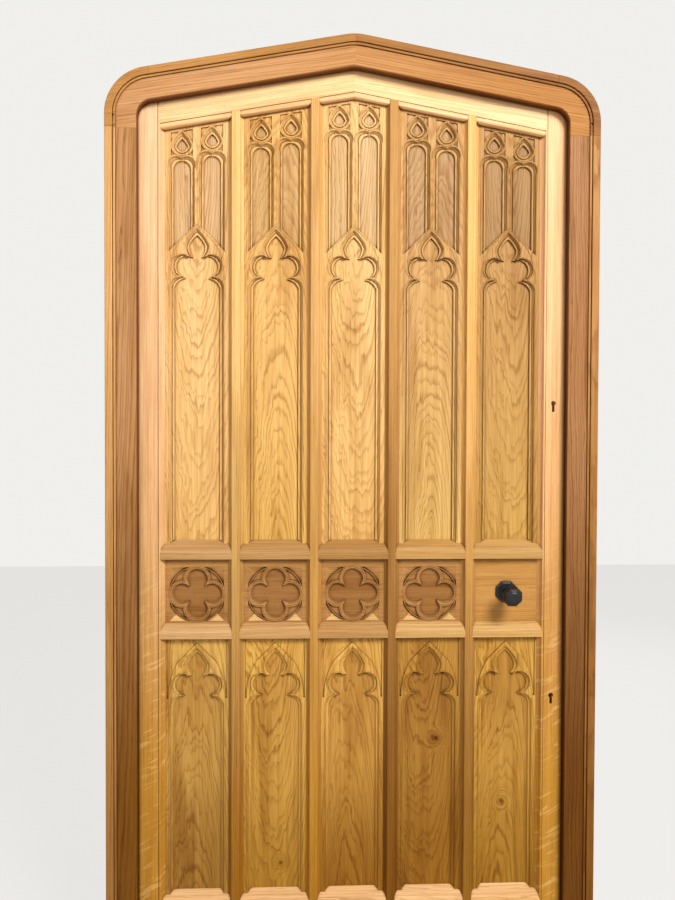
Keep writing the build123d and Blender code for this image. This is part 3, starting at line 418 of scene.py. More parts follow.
def tint_and_shade_grounds(tree, colour, apart, greyed, darkened):
    """Sunk grounds, greyer in the lights of a bay, and behind its foils darker and browner as painted shade.
    """
    ground = at_depth(tree, apart[1], panel_ground - 3 * mm, panel_ground - mm, panel_ground + mm,
                      panel_ground + 2 * mm)
    if greyed is not None:
        aside = maths(tree, "ABSOLUTE", maths(tree, "SUBTRACT", apart[0], greyed))
        above = spread(tree, maths(tree, "MULTIPLY_ADD", aside, hood_steep, apart[2]),
                       *(upper_head + rise for rise in hood_line))
        colour = stained(tree, times(tree, ground, above), colour, ground_tints["lights"])
    if darkened is not None:
        # Painted shade on the sunk ground behind the foils.
        behind = spread(tree, apart[2], *darkened, 0.35, 1.0)
        colour = stained(tree, times(tree, ground, behind), colour, ground_tints["foils"])
    return colour


print("the lights turn grey above", round(upper_head + hood_line[0], 3), "m")


# %% Painted shadow of the rebate, and stains of the knots
# The dark band in the rebate beside the leaf is a painted shadow.
rebate_shadow_tint = (0.34, 0.22, 0.12, 1.0)
rebate_shadow_depths = (0.001, 0.010, 0.027, 0.034)       # it darkens, is dark, and fades behind these
knot_rim, knot_heart = (0.55, 0.38, 0.22, 1.0), (0.34, 0.20, 0.10, 1.0)


def paint_rebate_shadow(tree, colour, apart):
    """The edge of the rebate beside the leaf, darkened as a painted shadow."""
    depth = at_depth(tree, apart[1], *rebate_shadow_depths)
    return stained(tree, times(tree, depth, 0.75), colour, rebate_shadow_tint)


def stain_knots(tree, colour, place, knots_away):
    """A brown rim and a dark heart on each knot, with a ragged outline."""
    for away, size in knots_away:
        ragged = maths(tree, "MULTIPLY_ADD", streaked(tree, place, waves["burr"]), size * 1.6, away)
        colour = stained(tree, spread(tree, ragged, size * 2.6, size * 1.1, 0.0, 0.5), colour, knot_rim)
        colour = stained(tree, spread(tree, ragged, size * 1.5, size * 0.9, 0.0, 0.8), colour, knot_heart)
    return colour


print("the rebate is dark from", round(rebate_shadow_depths[1] / mm), "to", round(rebate_shadow_depths[2] / mm), "mm deep")

# %% A board's material
pore_depth = 0.0006


# A board's reach is how far out of a corner its painted shade reaches.
def oak_board(name, top, foot=None, grain="up", pith=(0.0, 0.12), lean=0.06, ring=0.0042, wander=0.05,
              flecks=0.0, contrast=1.0, shift=(0.0, 0.0, 0.0), between=(0.2, 1.8), reach=0.008,
              greyed=None, darkened=None, knots=(), shaded_rebate=False):
    """Oak of one board: its tones at two heights, where its pith was, its own stains and its painted shade.
    """
    made, tree = blank_material(name)
    place = add(tree, "ShaderNodeTexCoord").outputs["Object"]
    apart = add(tree, "ShaderNodeSeparateXYZ", {0: place}).outputs
    knots_away = away_from_knots(tree, place, knots)
    laid = round_the_knots(tree, along_the_grain(tree, place, apart, grain), knots_away)
    figure = add(tree, "ShaderNodeGroup", node_tree=oak_group)
    for key, value in {"Pith across": pith[0], "Pith behind": pith[1], "Lean": lean, "Ring": ring,
                       "Wander": wander, "Flecks": flecks, "Contrast": contrast, "Shade reach": reach,
                       "Foot height": between[0], "Top height": between[1], "Top tone": screen(*top),
                       "Foot tone": screen(*(foot or top))}.items():
        figure.inputs[key].default_value = value
    tree.links.new(vector(tree, "ADD", laid, shift).outputs[0], figure.inputs["Point"])
    tree.links.new(apart[0] if grain == "arch" else apart[2], figure.inputs["Height"])
    # Greyer grounds in the lights, and painted shade on the grounds behind the foils.
    colour = tint_and_shade_grounds(tree, figure.outputs["Colour"], apart, greyed, darkened)
    # Painted shadow in the rebate beside the leaf.
    if shaded_rebate:
        colour = paint_rebate_shadow(tree, colour, apart)
    colour = stain_knots(tree, colour, place, knots_away)
    bump = add(tree, "ShaderNodeBump", {"Height": figure.outputs["Relief"], "Strength": 0.35,
               "Distance": pore_depth}).outputs[0]
    surface = add(tree, "ShaderNodeBsdfPrincipled", {"Base Color": colour, "Normal": bump,
                  "Roughness": figure.outputs["Roughness"], "Specular IOR Level": 0.12})
    add(tree, "ShaderNodeOutputMaterial", {"Surface": surface.outputs[0]})
    return made


print("pores are", round(pore_depth / mm, 1), "mm deep in the bump")

# %% Putting a material on a solid
def wear(piece, material):
    """Give a solid one material in all its slots."""
    if not piece.data.materials:
        piece.data.materials.append(material)
    for index in range(len(piece.data.materials)):
        piece.material_slots[index].material = material


def lay(name, top, foot=None, **figure):
    """Make one piece of the door from a board of its own."""
    wear(nodes[name], oak_board(name, top, foot, **figure))


print("solids to dress:", len(nodes))

# %% [markdown]
# ## Boards of the frame
#
# The frame is heavier and browner oak than the leaf. Both jambs were cut far from the pith, so
# their lines are straight, and their feet are darker, partly as painted shade. The right jamb and its
# strip are darker than the left ones, as painted shade of that side. The head and the strips along the
# arch follow its slope, and for them the two tones belong to the left and the right end, the right one
# darker, partly as painted shade. A rebate is broad and deep, and so the painted shade in its corners
# reaches much further out than on the carving.

# %% Jambs, with the strips that cover their outer edges
# How far the painted shade reaches out of the corners of the frame.
frame_shade_reach = 0.045
# The right jamb and its strip are darker than the left: painted shade of the frame's shaded right side.
jamb_tones = {"jamb_left": ((192, 144, 98), (126, 80, 14)), "jamb_right": ((172, 124, 82), (110, 66, 7))}
strip_tones = {"jamb_left": ((222, 172, 112), (160, 112, 56)), "jamb_right": ((184, 134, 78), (132, 84, 26))}
for name, side in (("jamb_left", -1), ("jamb_right", 1)):
    lay(name, *jamb_tones[name], pith=(side * 0.62, 0.16), lean=0.02, ring=0.0042, wander=0.03, contrast=1.25,
        shift=(0, 0, 1.7 * side), between=(0.45, 1.55), reach=frame_shade_reach, shaded_rebate=True)
    lay("strip_" + name, *strip_tones[name], pith=(side * 0.66, 0.3), lean=0.01, ring=0.003, wander=0.02,
        contrast=0.9, shift=(0.1, 0, 3.1 * side))
print("jambs and their strips:", 2 * len(jamb_tones))

# %% Head, the strips along the arch, and the sill
# The darker right-hand tones of the head and the arch strips are partly painted shade.
right_to_left = (0.5, -0.5)
lay("head", (208, 158, 112), (178, 122, 56), grain="arch", pith=(2.0, 0.10), lean=0.05, ring=0.0040,
    wander=0.04, reach=frame_shade_reach, between=right_to_left, shaded_rebate=True)
arch_strips = {"strip_corner_left": 1.3, "strip_corner_right": 2.9, "strip_head_left": 4.7,
               "strip_head_right": 6.1}
for name, shift in arch_strips.items():
    lay(name, (196, 144, 86), (150, 100, 44), grain="arch", pith=(1.9, 0.3), lean=0.02, ring=0.003,
        wander=0.02, shift=(0, 0, shift), between=right_to_left)
lay("sill", (150, 104, 58), grain="across", pith=(-0.1, 0.2))
print("head, sill and strips along the arch:", 2 + len(arch_strips))

# %% [markdown]
# ## Boards of the leaf
#
# The stiles are sawn along the rays, which keeps a door flat, so they alone show flecks. Muntins
# and rails are narrow pieces with straight grain, each from another board. The panels are wide, and
# their flames show best: the pith is set close behind them and leans, left and right by turns.
# The feet are deeper in tone and the tops paler, partly as the wood's own tone and partly as painted
# shade of light that falls from above. These tones could come from one noise over the whole door, but
# then they would run across the joints, and real ones stop there.

# %% Stiles and top rail
stile_tops = {"stile_left": (-1, (252, 206, 164)), "stile_right": (1, (250, 198, 150))}
for name, (side, top) in stile_tops.items():
    lay(name, top, (200, 145, 55), pith=(side * 0.95, 0.2), lean=0.012, ring=0.0028, wander=0.02, flecks=1.0,
        contrast=0.55, shift=(0, 0, 5.3 * side), between=(0.45, 1.7))
lay("top_rail", (255, 213, 163), grain="arch", pith=(2.3, 0.12), lean=0.03, ring=0.0032, contrast=0.65,
    shift=(0, 0, 9.0))
print("boards with flecks:", len(stile_tops))

# %% Muntins and rails
muntin_tones = [((240, 200, 134), (160, 107, 25)), ((222, 175, 112), (184, 130, 40)),
                ((200, 152, 90), (128, 80, 14)), ((243, 192, 122), (152, 106, 32))]
for number, (top, foot) in enumerate(muntin_tones, 1):
    lay(f"muntin_{number}", top, foot, pith=(0.5 * (-1) ** number, 0.3), lean=0.015, ring=0.003, wander=0.03,
        contrast=0.7, shift=(0, 0, 2.3 * number))
rail_tones = [(196, 154, 104), (188, 145, 93), (176, 132, 78), (194, 152, 92), (194, 153, 92)]
for number, tone in enumerate(rail_tones, 1):
    for row, paler in (("upper", 0), ("lower", 17)):
        lay(f"{row}_rail_{number}", tuple(c + paler for c in tone), grain="across", pith=(1.3, 0.3),
            lean=0.02, ring=0.003, wander=0.03, contrast=0.7, shift=(0, 0, number * 1.1 + paler))
lay("bottom_rail", (236, 190, 138), grain="across", pith=(0.2, 0.3), lean=0.02, ring=0.003, contrast=0.7)
print("muntins:", len(muntin_tones), "rails:", 2 * len(rail_tones) + 1)

# %% Tall panels
panel_leans = (0.11, -0.12, 0.10, -0.13, 0.09)
upper_tones = [((240, 197, 138), (206, 156, 54)), ((229, 184, 118), (218, 174, 68)),
               ((237, 197, 136), (210, 153, 50)), ((208, 166, 110), (242, 210, 125)),
               ((191, 149, 92), (212, 170, 72))]
lower_tones = [((218, 175, 96), (173, 129, 57)), ((224, 178, 92), (187, 141, 54)),
               ((223, 175, 92), (166, 117, 38)), ((187, 140, 64), (160, 112, 33)),
               ((212, 166, 82), (179, 133, 46))]
lower_knots = {2: [(-0.170, 0.320, 0.007)], 4: [(0.204, 0.615, 0.009)], 5: [(0.362, 0.460, 0.008)]}
# The lower panels get a longer reach of painted shade, and painted shade on the sunk ground of their heads.
for number, (x, lean) in enumerate(zip(bay_middles, panel_leans), 1):
    lay(f"upper_panel_{number}", *upper_tones[number - 1], pith=(x + 0.008, 0.12), lean=lean, ring=0.0046,
        wander=0.06, shift=(0, -1.5 * lean, 0), greyed=x)
    lay(f"lower_panel_{number}", *lower_tones[number - 1], pith=(x - 0.012, 0.13), lean=-0.8 * lean,
        ring=0.0044, wander=0.06, contrast=1.2, shift=(0, 0.4 * lean, 0), between=(0.28, 0.72), reach=0.014,
        darkened=(0.50, 0.76), knots=lower_knots.get(number, ()))
print("tall panels:", 2 * len(bay_middles), "knots:", sum(map(len, lower_knots.values())))

# %% The middle row
small_figure = {"grain": "across", "pith": (2.1, 0.3), "lean": 0.01, "wander": 0.02}
# The middle row gets a longer reach of painted shade, and painted shade on all of its sunk ground.
for number in range(1, 5):
    lay(f"middle_panel_{number}", (186, 139, 84), ring=0.0026, reach=0.013, darkened=(0.5, 0.6),
        shift=(0, 0, number * 0.9), **small_figure)
lay("lock_block", (200, 150, 84), ring=0.0028, contrast=0.9, **small_figure)
print("materials so far:", len(bpy.data.materials))

# %% [markdown]
# ## Drawing the lines of the carving
#
# A carver sets out tracery with a compass, so nearly all of an outline is a chain of arcs, each given
# by its start, a point on the way and its end. Half an outline is enough, as the other half is its
# mirror image about the middle of a bay or a light. The outlines could also be picked from the edges
# of the solids, but that breaks as soon as a mesh changes, and it doesn't show how they are built.

# %% An arc by way of three points
def arc(start, through, end, steps=8):
    """Points of the arc from start to end by way of a middle point, without the start."""
    (ax, az), (bx, bz), (cx, cz) = start, through, end
    turn = 2 * (ax * (bz - cz) + bx * (cz - az) + cx * (az - bz))
    a2, b2, c2 = ax * ax + az * az, bx * bx + bz * bz, cx * cx + cz * cz
    mx = (a2 * (bz - cz) + b2 * (cz - az) + c2 * (az - bz)) / turn
    mz = (a2 * (cx - bx) + b2 * (ax - cx) + c2 * (bx - ax)) / turn
    radius = sqrt((ax - mx) ** 2 + (az - mz) ** 2)
    first, last = atan2(az - mz, ax - mx), atan2(cz - mz, cx - mx)
    sweep = (last - first) % (2 * pi)
    if (atan2(bz - mz, bx - mx) - first) % (2 * pi) > sweep:
        sweep -= 2 * pi
    return [(mx + radius * cos(first + sweep * k / steps), mz + radius * sin(first + sweep * k / steps))
            for k in range(1, steps + 1)]


quarter_turn = arc((1, 0), (sqrt(0.5), sqrt(0.5)), (0, 1))
print("a quarter turn from (1, 0) ends at", [round(abs(v), 6) for v in quarter_turn[-1]])


# %% Paths, mirrored and moved aside
def arcs_through(points):
    """Arcs through every second point, by way of the points between."""
    path = [points[0]]
    for k in range(0, len(points) - 1, 2):
        path += arc(*points[k:k + 3])
    return path


def mirrored(half):
    """Half an outline from its left foot up to its point, and down again on the right."""
    return [(-x, z) for x, z in half] + [(x, z) for x, z in half[-2::-1]]


def shifted(path, distance):
    """Path moved to its left by a distance, with its corners kept at most twice as far out."""
    moved = []
    for index, point in enumerate(path):
        sides = []
        for one, two in ((index - 1, index), (index, index + 1)):
            if 0 <= one and two < len(path):
                run = Vector(path[two]) - Vector(path[one])
                sides.append(Vector((-run.y, run.x)).normalized())
        normal = sum(sides, Vector((0, 0)))
        reach = max(normal.length_squared / len(sides) ** 2, 0.25)
        moved.append(tuple(Vector(point) + normal / len(sides) / reach * distance))
    return moved


print("half an outline of 3 points, mirrored, has", len(mirrored([(2, 0), (1, 2), (0, 3)])))

# %% Half outlines in millimetres, at the panel's face and at its sunk ground
head_edges = {
    "face": [(63, 0), (54, 17.8), (35, 24), (59, 48), (18, 72), (26, 83), (28.5, 97), (18, 117), (0, 137)],
    "ground": [(54, 0), (43.7, 15), (27, 22), (50, 48), (10, 71), (17.5, 83), (19.5, 97), (11.5, 111.5),
               (0, 123.5)]}
hood_edge = [(67, 18), (60.5, 68), (44, 105), (0, 149)]
light_edges = {"face": [(29.5, -24), (20, 3), (0, 0)], "ground": [(21, -24), (14.8, -8.6), (0, -3.4)]}
eye_edges = {"face": [(0, -52), (15, -46), (22.5, -31), (13.5, -13), (0, 0)],
             "ground": [(0, -43.5), (8.5, -40), (14, -31), (7, -19.5), (0, -13)]}
print("a light is", 2 * light_edges["face"][0][0], "mm wide, an eye", 2 * eye_edges["face"][2][0])


# %% Paths of the four outlines
def head_path(x, base, low, level):
    """Edge of a traceried head, with the sides of the field below it."""
    half = [(head_edges[level][0][0], (low - base) / mm)] + arcs_through(head_edges[level])
    return [(x + across * mm, base + up * mm) for across, up in mirrored(half)]


def hood_path(x, base):
    """Outer line of the hood over a head: an arc, then a straight run to the point."""
    half = [hood_edge[0]] + arc(*hood_edge[:3]) + [hood_edge[3]]
    return [(x + across * mm, base + up * mm) for across, up in mirrored(half)]


def light_path(x, middle, top, foot, level):
    """Edge of a light, from its slope on the hood up and over its two shoulders."""
    half = arcs_through(light_edges[level])
    arch = [(middle + across * mm, top + up * mm) for across, up in mirrored(half)]
    left, right = arch[0][0], arch[-1][0]
    return [(left, foot - abs(left - x))] + arch + [(right, foot - abs(right - x))]


def eye_path(x, top, level):
    """Edge of a drop-shaped eye, all the way round."""
    half = arcs_through(eye_edges[level])
    return [(x + across * mm, top + up * mm) for across, up in mirrored(half)[:-1]]


print("points round a head:", len(head_path(0.0, 0.0, 0.0, "face")))

# %% [markdown]
# ## Beads
#
# A carver runs a fine round bead along every edge of the tracery, and each line then shows as a
# thread of light beside a thread of shade. A bump map could fake that from the front, but not at
# the edge of a hollow or from the side. Here a bead is a tube, sunk by half in the panel, that a
# curve with a bevel lays along its outline. The curve becomes a mesh at once, since the leaf has to
# carry it when it swings.

# %% Pieces that ride with the door
def place_piece(name, mesh, material, body):
    """Show a mesh as a piece that rides on a body of the door."""
    mesh.materials.clear()
    mesh.materials.append(material)
    piece = bpy.data.objects.new(name, mesh)
    bpy.context.scene.collection.objects.link(piece)
    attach(piece, body)
    return piece


def beads(name, paths, radius, material, closed=False):
    """Round beads along paths on the face of a panel, half sunk in it."""
    line = bpy.data.curves.new(name, "CURVE")
    line.dimensions = "3D"
    line.bevel_depth = radius
    line.bevel_resolution = 2
    for path in paths:
        spline = line.splines.new("POLY")
        spline.points.add(len(path) - 1)
        for point, (x, z) in zip(spline.points, path):
            point.co = (x, panel_face, z, 1.0)
        spline.use_cyclic_u = closed
    drawn = bpy.data.objects.new(name + "_path", line)
    mesh = bpy.data.meshes.new_from_object(drawn)
    bpy.data.objects.remove(drawn)
    mesh.name = name
    for face in mesh.polygons:
        face.use_smooth = True
    return place_piece(name, mesh, material, "leaf")


# %% [markdown]
# ## Fillets and hollow walls
#
# Inside each edge the gouge leaves a hollow, and on the finer tracery a narrow flat, a fillet,
# half way down. It is cut from the panel, but it can be built as a strip of one section that is bent
# round the outline. The outline at the face and the outline at the ground are drawn with equally
# many points, and a small section is stretched between each pair of them. A curve with a bevel
# object would keep the section's width, but the distance between the two outlines changes on the
# way, and the section has to change with it.

# %% Closed pieces with soft edges
sharp_turn = 30            # an edge that turns by more degrees than this gets rounded


def closed_piece(name, points, faces, material, body="leaf"):
    """Closed solid from points and faces, with every face turned outwards."""
    mesh = bpy.data.meshes.new(name)
    mesh.from_pydata(points, [], faces)
    shape = bmesh.new()
    shape.from_mesh(mesh)
    bmesh.ops.recalc_face_normals(shape, faces=shape.faces)
    shape.to_mesh(mesh)
    shape.free()
    return place_piece(name, mesh, material, body)


def soften(piece, width, angle=sharp_turn):
    """Round the edges of a piece that turn by more than an angle."""
    soft = piece.modifiers.new("arris", "BEVEL")
    soft.width = width
    soft.segments = 2
    soft.limit_method = "ANGLE"
    soft.angle_limit = radians(angle)


print("edges are rounded from a turn of", sharp_turn, "degrees")

# %% A rod of one section between two outlines
fillet_section = [(0.50, 9.2), (0.56, 4.9), (0.62, 4.1), (0.98, 3.9), (1.06, 4.5), (1.12, 9.2)]
hollow_section = [(0.02, 9.2), (0.02, 0.4), (0.06, 2.6), (0.26, 4.2), (0.52, 5.0), (0.64, 5.2), (0.68, 9.2)]
rod_arris, rod_turn = 0.0004, 35


def fillet_run(name, pairs, section, material, closed=False):
    """Rods of one section between the outer and the inner outlines of sinkings.

    Each point of the section is a share of the way from the outer to the inner outline, and a depth
    behind the face of the panel in millimetres.
    """
    points, faces = [], []
    count = len(section)
    for outer, inner in pairs:
        first = len(points)
        for (x0, z0), (x1, z1) in zip(outer, inner):
            for share, depth in section:
                points.append((x0 + share * (x1 - x0), panel_face + depth * mm, z0 + share * (z1 - z0)))
        steps = len(outer) if closed else len(outer) - 1
        for k in range(steps):
            here, there = first + k * count, first + (k + 1) % len(outer) * count
            faces += [(here + e, here + (e + 1) % count, there + (e + 1) % count, there + e)
                      for e in range(count)]
        if not closed:
            last = first + (len(outer) - 1) * count
            faces += [tuple(first + e for e in range(count)),
                      tuple(last + e for e in reversed(range(count)))]
    soften(closed_piece(name, points, faces, material), rod_arris, rod_turn)
    return len(faces)


print("points in a fillet's section:", len(fillet_section), "in a hollow's:", len(hollow_section))

# %% [markdown]
# ## Tracery of the tall panels
#
# An upper bay has two lights side by side, an eye over each of them, and below them a head with
# foils under a pointed hood. Under the arch every light ends at another height, so the script works
# each one out from the arch itself. Typing in ten heights would do as well, until the arch changes.
# A lower bay has only the head, and the wall of that is one broad hollow without a fillet.

# %% Sizes of the tracery
upper_rail_top, bottom_rail_top = 1.096, 0.2605
light_offset = 0.035       # from the middle of a bay to the middle of one of its two lights
top_rail_width, eye_gap = 0.060, 0.010
rail_and_gap = top_rail_width / cos(atan(arch_slope)) + eye_gap    # from the arch down to an eye's point
light_drop = 0.061         # from there down to the point of the light
hood_rise = 0.149
bead_radius = 0.0013
bead_gaps = {"head": 0.0021, "hood": -0.0017, "light": 0.0020, "eye": 0.0022}    # outwards from each edge
both_levels = ("face", "ground")
print("an eye starts", round(rail_and_gap / mm), "mm below the arch")


# %% Beads and fillets of an upper panel
def upper_lines(number, x, oak):
    """Beads and fillets of one upper panel; gives the number of faces in the fillets."""
    heads = [head_path(x, upper_head, upper_rail_top, level) for level in both_levels]
    lights, eyes = [], []
    for middle in (x - light_offset, x + light_offset):
        eye_top = arch_apex - arch_slope * abs(middle) - rail_and_gap
        lights.append([light_path(x, middle, eye_top - light_drop, upper_head + hood_rise, level)
                       for level in both_levels])
        eyes.append([eye_path(middle, eye_top, level) for level in both_levels])
    edges = [shifted(heads[0], bead_gaps["head"]), shifted(hood_path(x, upper_head), bead_gaps["hood"])]
    edges += [shifted(at_face, bead_gaps["light"]) for at_face, at_ground in lights]
    beads(f"upper_beads_{number}", edges, bead_radius, oak)
    rims = [shifted(at_face, bead_gaps["eye"]) for at_face, at_ground in eyes]
    beads(f"eye_beads_{number}", rims, bead_radius, oak, closed=True)
    return (fillet_run(f"upper_fillets_{number}", [heads] + lights, fillet_section, oak)
            + fillet_run(f"eye_fillets_{number}", eyes, fillet_section, oak, closed=True))


print("lines of an upper bay that get beads:", ", ".join(bead_gaps))


# %% The bead and the hollow wall of a lower panel
def lower_lines(number, x, oak):
    """Bead and hollow wall of one lower panel; gives the number of faces in the wall."""
    heads = [head_path(x, lower_head, bottom_rail_top, level) for level in both_levels]
    beads(f"lower_beads_{number}", [shifted(heads[0], bead_gaps["head"])], bead_radius, oak)
    return fillet_run(f"lower_walls_{number}", [heads], hollow_section, oak)


print("a lower head springs", round((upper_head - lower_head) / mm), "mm below an upper one")

# %% The tracery of the five bays
for number, x in enumerate(bay_middles, 1):
    upper, lower = (nodes[f"{row}_panel_{number}"].material_slots[0].material for row in ("upper", "lower"))
    print("bay", number, "faces in its upper fillets:", upper_lines(number, x, upper),
          "in its lower wall:", lower_lines(number, x, lower))

# %% [markdown]
# ## Quatrefoils
#
# Each small panel has a ring, and inside it four round lobes that meet in pointed cusps. The ring
# and the lobes get beads like the rest, and the lobes a steep wall. A cusp is a chip left standing
# between two cuts, pointed in plan and sharp along its top, so it is built from seven points of its
# own rather than bevelled out of the wall. In the square's corners, outside the ring, facets slope
# from the edge down to the rim. The lowest ones face up into the light and get a paler oak of their
# own, a painted highlight.

# %% Lobes
lobe_offset, lobe_radius, ring_radius = 0.0345, 0.0285, 0.0635
lobe_wall = 0.0038
wall_section = [(0.03, 9.2), (0.03, 0.4), (0.70, 0.9), (0.88, 1.8), (1.00, 9.2)]
lobe_steps = 10


def lobe_path(x, radius):
    """Outline of four lobes that meet in cusps on the diagonals."""
    corner = (lobe_offset + sqrt(2 * radius ** 2 - lobe_offset ** 2)) / 2
    reach = atan2(corner, corner - lobe_offset)
    path = []
    for turn in (quarter * pi / 2 for quarter in range(4)):
        for k in range(2 * lobe_steps + 1):
            angle = turn + reach * (k / lobe_steps - 1)
            path.append((x + lobe_offset * cos(turn) + radius * cos(angle),
                         quatrefoil_z + lobe_offset * sin(turn) + radius * sin(angle)))
    return path


print("points round four lobes:", len(lobe_path(0.0, lobe_radius)))

# %% Cusps
# How far each point lies out on its diagonal, aside from it, and behind the face of the frame.
cusp_points = [(0.0250, 0.0, 0.0430), (0.0425, 0.0052, 0.0422), (0.0425, -0.0052, 0.0422),
               (0.0230, 0.0, 0.0500), (0.0425, 0.0092, 0.0500), (0.0425, -0.0092, 0.0500),
               (0.0425, 0.0, 0.0408)]
cusp_faces = [(0, 1, 6), (0, 6, 2), (3, 4, 1, 0), (3, 0, 2, 5), (4, 5, 2, 6, 1), (5, 4, 3)]
cusp_arris = 0.0005


def cusps(name, x, material):
    """Four pointed cusps between the lobes, rising from the ground to a sharp ridge."""
    points, faces = [], []
    middle = Vector((x, 0, quatrefoil_z))
    for turn in (pi / 4 + quarter * pi / 2 for quarter in range(4)):
        ahead = Vector((cos(turn), 0, sin(turn)))
        aside = Vector((-sin(turn), 0, cos(turn)))
        faces += [[len(points) + k for k in face] for face in cusp_faces]
        points += [middle + ahead * out + aside * half + Vector((0, depth, 0))
                   for out, half, depth in cusp_points]
    soften(closed_piece(name, points, faces, material), cusp_arris)
    return len(faces)


print("points of a cusp:", len(cusp_points), "faces:", len(cusp_faces))

# %% Facets in the corners
facet_rim, facet_square, facet_steps = 0.0655, 0.0637, 6
rim_depth, edge_depth, back_depth = 0.0451, 0.0404, 0.0459
corner_gap = 0.23          # angle left plain where a facet would thin out to nothing


def corner_facets(name, x, spans, material):
    """Facets in the corners outside a ring, from the edge of the square down to the rim."""
    points, faces = [], []
    for low, high in spans:
        start = len(points)
        for k in range(facet_steps + 1):
            angle = low + (high - low) * k / facet_steps
            a, b = facet_rim * cos(angle), facet_rim * sin(angle)
            out = max(facet_square / max(abs(a), abs(b)), 1.004)
            for share, depth in ((1.0, rim_depth), (out, edge_depth), (out, back_depth), (1.0, back_depth)):
                points.append((x + a * share, depth, quatrefoil_z + b * share))
        for k in range(facet_steps):
            here, there = start + 4 * k, start + 4 * k + 4
            faces += [(here + e, here + (e + 1) % 4, there + (e + 1) % 4, there + e) for e in range(4)]
        last = start + 4 * facet_steps
        faces += [(start, start + 1, start + 2, start + 3), (last + 3, last + 2, last + 1, last)]
    closed_piece(name, points, faces, material)
    return len(faces)


eighths = [(k * pi / 4 + corner_gap * (k % 2 == 0), (k + 1) * pi / 4 - corner_gap * (k % 2))
           for k in range(8)]
print("eighths of a turn round a ring:", len(eighths))

# %% The four quatrefoils
# A paler oak for the lowest facets, which face up into the light: a painted highlight.
lit_facet_oak = oak_board("painted_highlight_oak", (230, 190, 128), ring=0.0026, **small_figure)
ring_line_radius, ring_bead_radius = ring_radius + 0.0008, 0.0010
lobe_line_radius = lobe_radius + 0.0020
for number, x in enumerate(bay_middles[:4], 1):
    oak = nodes[f"middle_panel_{number}"].material_slots[0].material
    faces = corner_facets(f"low_facets_{number}", x, eighths[5:7], lit_facet_oak)
    faces += corner_facets(f"side_facets_{number}", x, eighths[:5] + eighths[7:], oak)
    ring = [(x + ring_line_radius * cos(k * pi / 32), quatrefoil_z + ring_line_radius * sin(k * pi / 32))
            for k in range(64)]
    beads(f"ring_bead_{number}", [ring], ring_bead_radius, oak, closed=True)
    lobes = lobe_path(x, lobe_line_radius)
    beads(f"lobe_bead_{number}", [lobes], bead_radius, oak, closed=True)
    walls = [lobe_path(x, radius) for radius in (lobe_radius, lobe_radius - lobe_wall)]
    faces += fillet_run(f"lobe_wall_{number}", [walls], wall_section, oak, closed=True)
    faces += cusps(f"cusps_{number}", x, oak)
    print("quatrefoil", number, "faces in its carving:", faces)

# %% [markdown]
# ## Iron and steel
#
# The knobs and their roses are blackened iron: a thin dark skin with a little gloss, worn uneven by
# hands. Hinges, latch, locks and keeps are plain steel. Metal that is equally smooth all over looks
# like plastic, so one fine noise varies the tone, the gloss and the surface together. The black
# skin is only partly metallic, as it is the coating that is seen and not bare iron.

# %% Metals
def metal(name, tone, metallic, roughness, grain=220.0, depth=0.0003):
    """Metal with a faint unevenness in its tone, gloss and surface."""
    made, tree = blank_material(name)
    place = add(tree, "ShaderNodeTexCoord").outputs["Object"]
    uneven = add(tree, "ShaderNodeTexNoise", {"Vector": place, "Scale": grain, "Detail": 4.0}).outputs[0]
    worn = tuple(c * 0.7 for c in tone[:3]) + (1.0,)
    shade = blended(tree, spread(tree, uneven, 0.3, 0.7), worn, tone)
    gloss = spread(tree, uneven, 0.3, 0.7, roughness - 0.08, roughness + 0.1)
    bump = add(tree, "ShaderNodeBump", {"Height": uneven, "Strength": 0.4, "Distance": depth}).outputs[0]
    surface = add(tree, "ShaderNodeBsdfPrincipled", {"Base Color": shade, "Metallic": metallic,
                  "Roughness": gloss, "Normal": bump})
    add(tree, "ShaderNodeOutputMaterial", {"Surface": surface.outputs[0]})
    return made


black_iron = metal("black_iron", screen(22, 22, 24), 0.2, 0.38)
steel = metal("hinge_steel", screen(150, 146, 138), 1.0, 0.35, 400.0, 0.0001)
black_names = [name for name in nodes if name.startswith(("knob_outside", "knob_inside", "rose"))]
steel_names = [name for name in nodes if name.startswith(("hinge", "latch", "dead", "keeps", "knob_spindle"))]
for names, material in ((black_names, black_iron), (steel_names, steel)):
    for name in names:
        wear(nodes[name], material)
print("black pieces:", len(black_names), "steel pieces:", len(steel_names))

# %% [markdown]
# ## Soft arrises
#
# No edge on real joinery is dead sharp. A joiner takes the arris off with one pass of fine paper,
# and that narrow round is what glints along every board. The edges could be rounded in the meshes
# themselves, but a bevel modifier on each solid does it and leaves them alone. The triangles of a
# solid arrive one by one, with their corners split, so a weld comes first, or the bevel would find
# no edges to soften.

# %% Weld and bevel on every solid
weld_reach = 0.00002
arris_width, arris_turn = 0.0006, 28
for piece in nodes.values():
    weld = piece.modifiers.new("join", "WELD")
    weld.merge_threshold = weld_reach
    soften(piece, arris_width, arris_turn)
print("softened solids:", len(nodes))

# %% [markdown]
# ## Hinge screws
#
# Eight countersunk screws hold each hinge: four in the plate on the jamb and four in the plate on
# the leaf. Their heads lie flush, so only a thin ring and the slot show when the door is open. A
# head could be turned and cut with a boolean, but it is plainer to build it as it looks: two half
# discs with the slot between them, narrowing towards the shank. Each plate's screws ride with that
# plate's body, since one side stays on the jamb as the other swings.

# %% One slotted head
screw_rim, screw_slot, screw_facets = 0.0038, 0.0005, 20
stand_out, countersink = 0.0001, 0.0009


